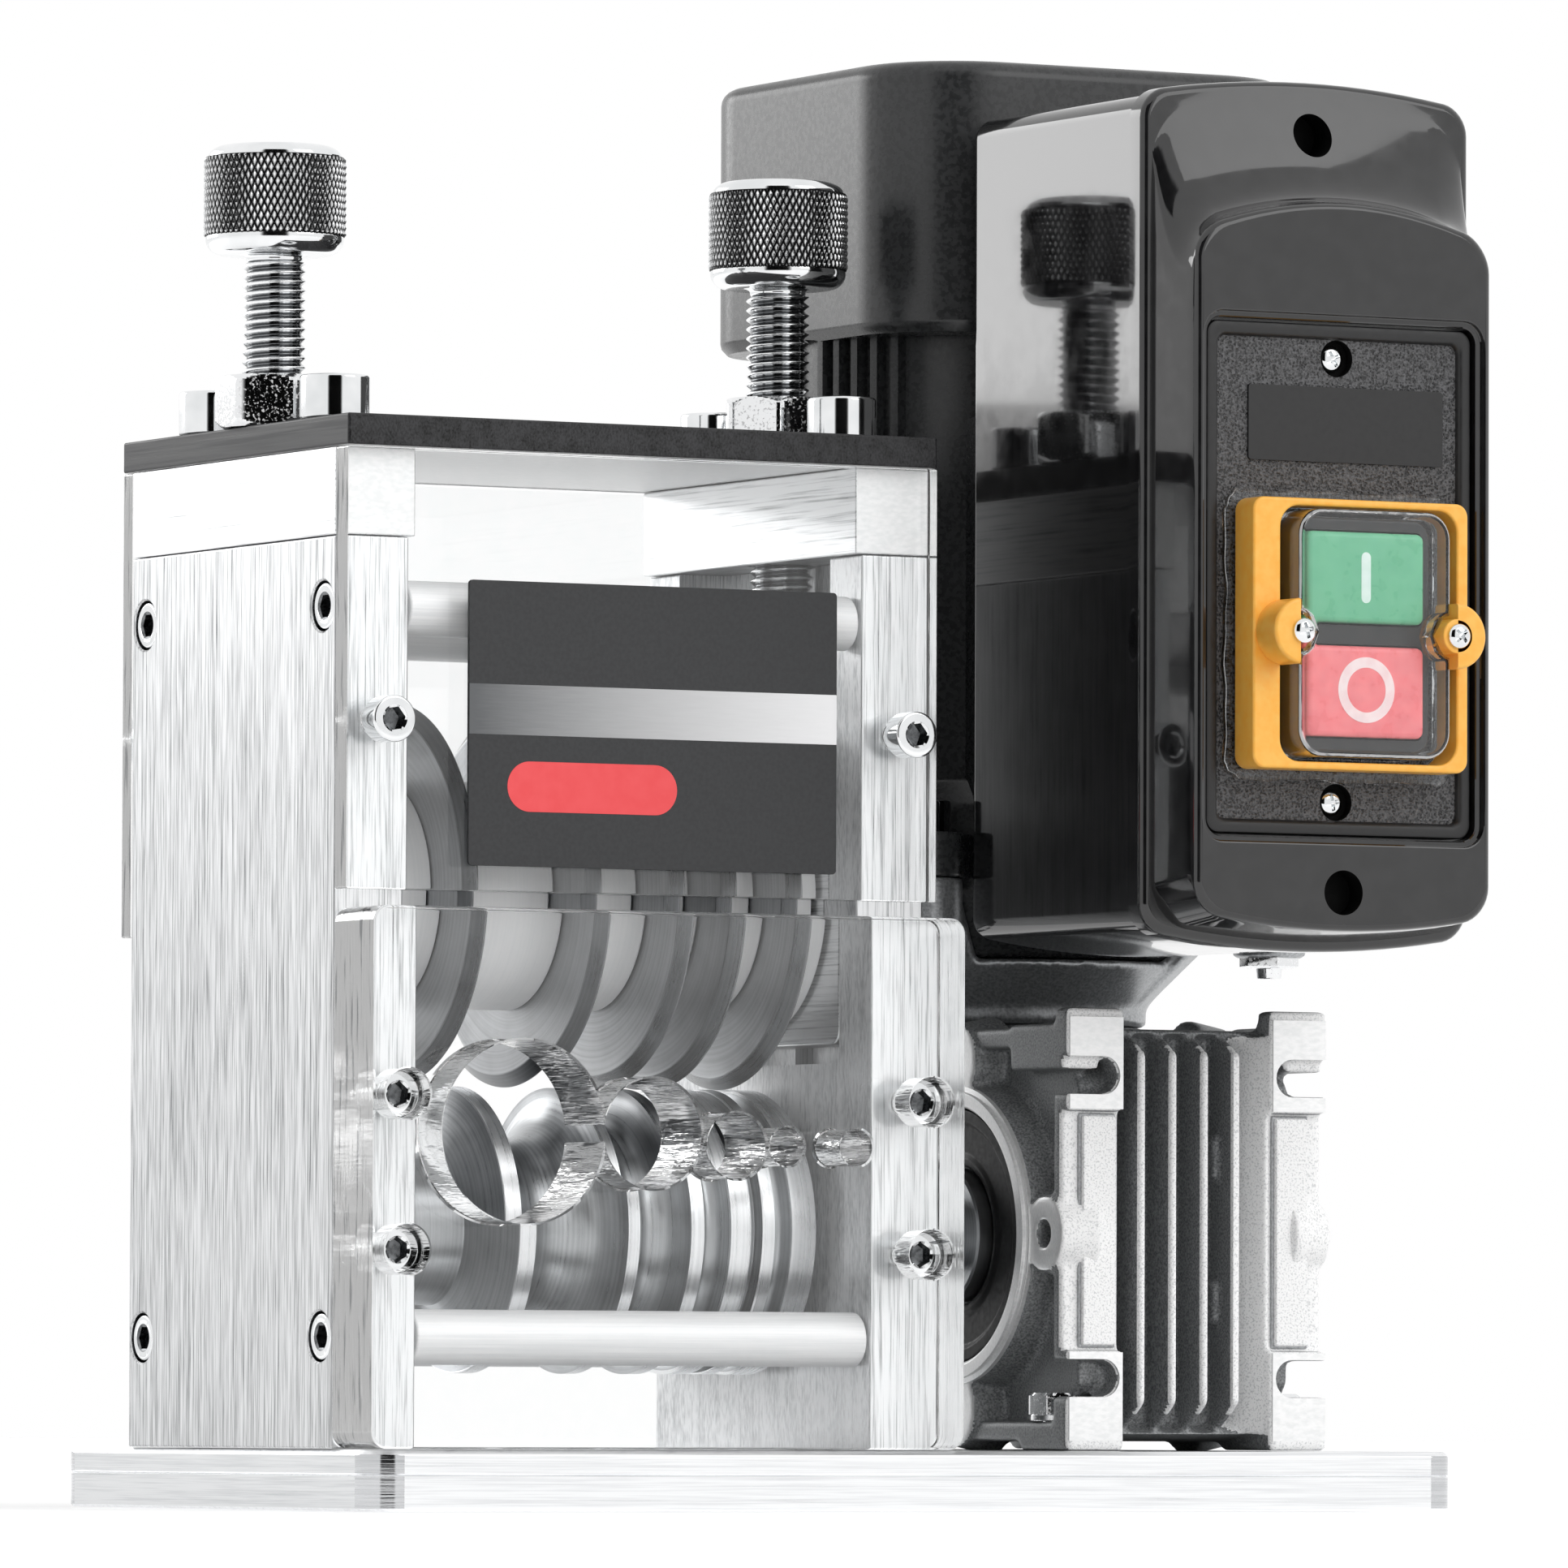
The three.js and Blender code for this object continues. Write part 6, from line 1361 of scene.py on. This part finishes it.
def hoodLoop(inset, notched):
    # points inside a notch circle are pushed out to its edge: p = c + R (p - c) / |p - c|
    wide, tall, corner = switch["hood"]
    loop = roundedLoop(wide - 2 * inset, tall - 2 * inset, corner - inset, switchMiddle, 8, 36)
    for centre in earMiddles if notched else ():
        away = loop - centre
        reach = np.linalg.norm(away, axis=1)[:, None]
        radius = switch["notch"] + inset
        loop = np.where(reach < radius, centre + away / np.maximum(reach, 1e-6) * radius, loop)
    return loop


def switchHood():
    # up the inner wall, round the front edge and down the outer wall, with the notches above the shelf
    low, high = spanOf("switch_cover")
    front, back = low[1], high[1]
    shelf, wall = front + switch["shelf"], switch["hoodWall"]
    rows = [(wall, front + wall, True), (wall, shelf - 0.5, True), (wall, shelf, False), (wall, back, False),
            (0, back, False), (0, shelf - 0.8, False), (0, shelf - 0.85, True)]
    rows += [(1 - math.cos(t), front + 1 - math.sin(t), True) for t in sweep(4)]
    return skin("switchHood", [standing(hoodLoop(inset, notched), y, "y") for inset, y, notched in rows], sharp=30)


def switchHousing():
    low, high = spanOf("switch_housing")
    outline = lambda i: roundedLoop(high[0] - low[0] - 2 * i, high[2] - low[2] - 2 * i, 3.4 - i, switchMiddle, 8)
    tools = [slab("tool", "y", low[1] - 2, high[1] + 2, lambda i: roundedLoop(
        25.5, 17.3, 1.2, (box["x"], switch["z"] + s * switch["spread"]), 6), 0) for s in (-1, 1)]
    return carved(slab("switchHousing", "y", low[1], high[1], outline, 0.6), tools)


def button(name, node, finish, ring):
    # a pillowed face: each row in from the edge stands a little further out
    low, high, middle, wide, tall = frontOf(node)
    front, cap = low[1], low[1] + 5.6
    rows = [standing(roundedLoop(wide - 2 * inset, tall - 2 * inset, 1.3, middle, 6), y, "y")
            for inset, y in ((0, cap), (0, front + 1.1), (0.12, front + 0.6), (0.5, front + 0.26),
                             (1.1, front + 0.16), (3.5, front + 0.05))]
    stem = softened([(0, cap - 0.2), (3, cap - 0.2), (3, high[1]), (0, high[1])], 0.3)
    parts = [coated(skin("cap", rows, sharp=50), finish), coated(turned("stem", "y", stem, middle, 48), finish)]
    if ring:
        mark = pipe("y", front, front + 0.5, 6, (middle[0] - 0.1, middle[1] + 0.3), 64, 4.1)
    else:
        mark = slab("mark", "y", front, front + 0.5, lambda i: roundedLoop(
            2.0, 9.3, 0.99, (middle[0] - 0.2, middle[1]), 6), 0.03, 1)
    parts.append(coated(mark, roseMark if ring else mintMark))
    return together(name, parts)


# painted highlight: the gasket's sloping bead faces and the hood's rounded front edge take the whitish edge finish
seeThrough.append(faced(present(switchGasket(), gasketClear, "switch_gasket"), edgeClear,
                        lambda c, n: (np.abs(n[:, 1]) < 0.75) & (np.abs(n[:, 1]) > 0.1)))
present(switchGuard(), None, "switch_guard")
seeThrough.append(faced(present(switchHood(), hoodClear, "switch_cover"), edgeClear,
                        lambda c, n: (n[:, 1] < -0.2) & (n[:, 1] > -0.92)))
present(switchHousing(), mattBlack, "switch_housing")
present(button("startButton", "start_button", green, False), None, "start_button")
present(button("stopButton", "stop_button", red, True), None, "stop_button")
for piece in seeThrough:
    piece.visible_shadow = False
    piece.visible_diffuse = False
print("switch made")

# Camera, floor and light

camera = {"place": (-1.2203, -2.2106, 0.01765), "ahead": (0.48467, 0.87472, 0.04648), "lens": 311.1, "roll": 0.206}
sky = {"key": (0.45, -0.8, 0.4), "base": 0.2, "gain": 1.5, "power": 1.5, "floor": 0.45}


def placeCamera():
    data = bpy.data.cameras.new("camera")
    data.lens = camera["lens"]
    data.sensor_width = 36
    data.clip_end = 50
    eye = placed("camera", data)
    ahead = Vector(camera["ahead"]).normalized()
    right = ahead.cross(Vector((0, 0, 1))).normalized()
    turn = Matrix((right, right.cross(ahead), -ahead)).transposed().to_4x4()
    roll = Matrix.Rotation(math.radians(camera["roll"]), 4, "Z")
    eye.matrix_world = Matrix.Translation(camera["place"]) @ turn @ roll
    bpy.context.scene.camera = eye


def mathNode(tree, operation, first, second):
    node = tree.nodes.new("ShaderNodeMath")
    node.operation = operation
    for socket, value in zip(node.inputs, (first, second)):
        if isinstance(value, (int, float)):
            socket.default_value = value
        else:
            tree.links.new(value, socket)
    return node.outputs[0]


def seenDirectly(tree):
    # 1 for camera, glossy and transmission rays, and 0 for the rest
    path = tree.nodes.new("ShaderNodeLightPath").outputs
    total = mathNode(tree, "MAXIMUM", path["Is Camera Ray"], path["Is Glossy Ray"])
    return mathNode(tree, "MAXIMUM", total, path["Is Transmission Ray"])


def setWorld():
    # white where it is seen; as light it grows towards the key side: base + gain * max(0, direction . key) ^ power
    world = bpy.data.worlds.new("studio")
    bpy.context.scene.world = world
    world.use_nodes = True
    tree = world.node_tree
    background = tree.nodes["Background"]
    background.inputs["Color"].default_value = (1, 1, 1, 1)
    where = tree.nodes.new("ShaderNodeTexCoord")
    toward = tree.nodes.new("ShaderNodeVectorMath")
    toward.operation = "DOT_PRODUCT"
    toward.inputs[1].default_value = Vector(sky["key"]).normalized()
    tree.links.new(where.outputs["Generated"], toward.inputs[0])
    share = mathNode(tree, "POWER", mathNode(tree, "MAXIMUM", toward.outputs["Value"], 0.0), sky["power"])
    glow = mathNode(tree, "ADD", mathNode(tree, "MULTIPLY", share, sky["gain"]), sky["base"])
    level = tree.nodes.new("ShaderNodeMapRange")
    tree.links.new(glow, level.inputs["To Min"])
    level.inputs["To Max"].default_value = 1.0
    tree.links.new(seenDirectly(tree), level.inputs["Value"])
    tree.links.new(level.outputs["Result"], background.inputs["Strength"])


def layFloor():
    mesh = bpy.data.meshes.new("floor")
    mesh.from_pydata([(-6, -6, 0), (6, -6, 0), (6, 6, 0), (-6, 6, 0)], [], [(0, 1, 2, 3)])
    floor = placed("floor", mesh)
    floor.location.z = -0.0003
    finish = newFinish("floorPaper", "f4f4f4", 0.9)
    tree = finish.node_tree
    shader = tree.nodes["Principled BSDF"]
    shader.inputs["Specular IOR Level"].default_value = 0.0
    shader.inputs["Emission Color"].default_value = (1, 1, 1, 1)
    glow = mathNode(tree, "MULTIPLY", seenDirectly(tree), sky["floor"])
    tree.links.new(glow, shader.inputs["Emission Strength"])
    mesh.materials.append(finish)


def areaLight(name, place, aim, size, power, diffuse=1.0):
    data = bpy.data.lights.new(name, "AREA")
    data.shape = "RECTANGLE"
    data.size, data.size_y = size
    data.energy = power
    data.diffuse_factor = diffuse
    lamp = placed(name, data)
    lamp.location = place
    lamp.rotation_euler = (Vector(aim) - Vector(place)).to_track_quat("-Z", "Y").to_euler()
    lamp.visible_camera = False


card = {"radius": 1.9, "turn": (217, 265), "rise": (-0.3, 1.9), "columns": 24, "soft": 5}


def darkCard():
    # a dark card beside the camera gives polished metal its contrast; its sides fade out
    a = np.linspace(*card["turn"], card["columns"])
    fade = np.clip(np.minimum(a - a[0], a[-1] - a) / card["soft"], 0, 1)
    ring = card["radius"] * np.stack([np.cos(np.radians(a)), np.sin(np.radians(a))], 1)
    points = np.concatenate([np.column_stack([ring, np.full(len(a), z)]) for z in card["rise"]])
    count = len(a)
    mesh = bpy.data.meshes.new("darkCard")
    mesh.from_pydata(points.tolist(), [], [(k, k + 1, k + count + 1, k + count) for k in range(count - 1)])
    mesh.attributes.new("fade", "FLOAT", "POINT").data.foreach_set("value", np.tile(fade, 2))
    shown = placed("darkCard", mesh)
    paper = newFinish("cardPaper", "0c0c0c", 0.9, 0.0, {"Specular IOR Level": 0.0})
    share = paper.node_tree.nodes.new("ShaderNodeAttribute")
    share.attribute_name = "fade"
    paper.node_tree.links.new(share.outputs["Fac"], paper.node_tree.nodes["Principled BSDF"].inputs["Alpha"])
    mesh.materials.append(paper)
    for flag in ("visible_camera", "visible_diffuse", "visible_shadow", "visible_transmission"):
        setattr(shown, flag, False)


bpy.context.scene.view_settings.view_transform = "Standard"
placeCamera()
setWorld()
layFloor()
areaLight("keyLight", (0.9, -1.9, 1.3), (0, 0, 0.12), (1.3, 1.3), 8)
areaLight("sideLight", (-0.55, 1.15, 0.55), (0.05, 0, 0.2), (0.9, 0.5), 4.2, 0.0)
darkCard()
print("camera and light set")
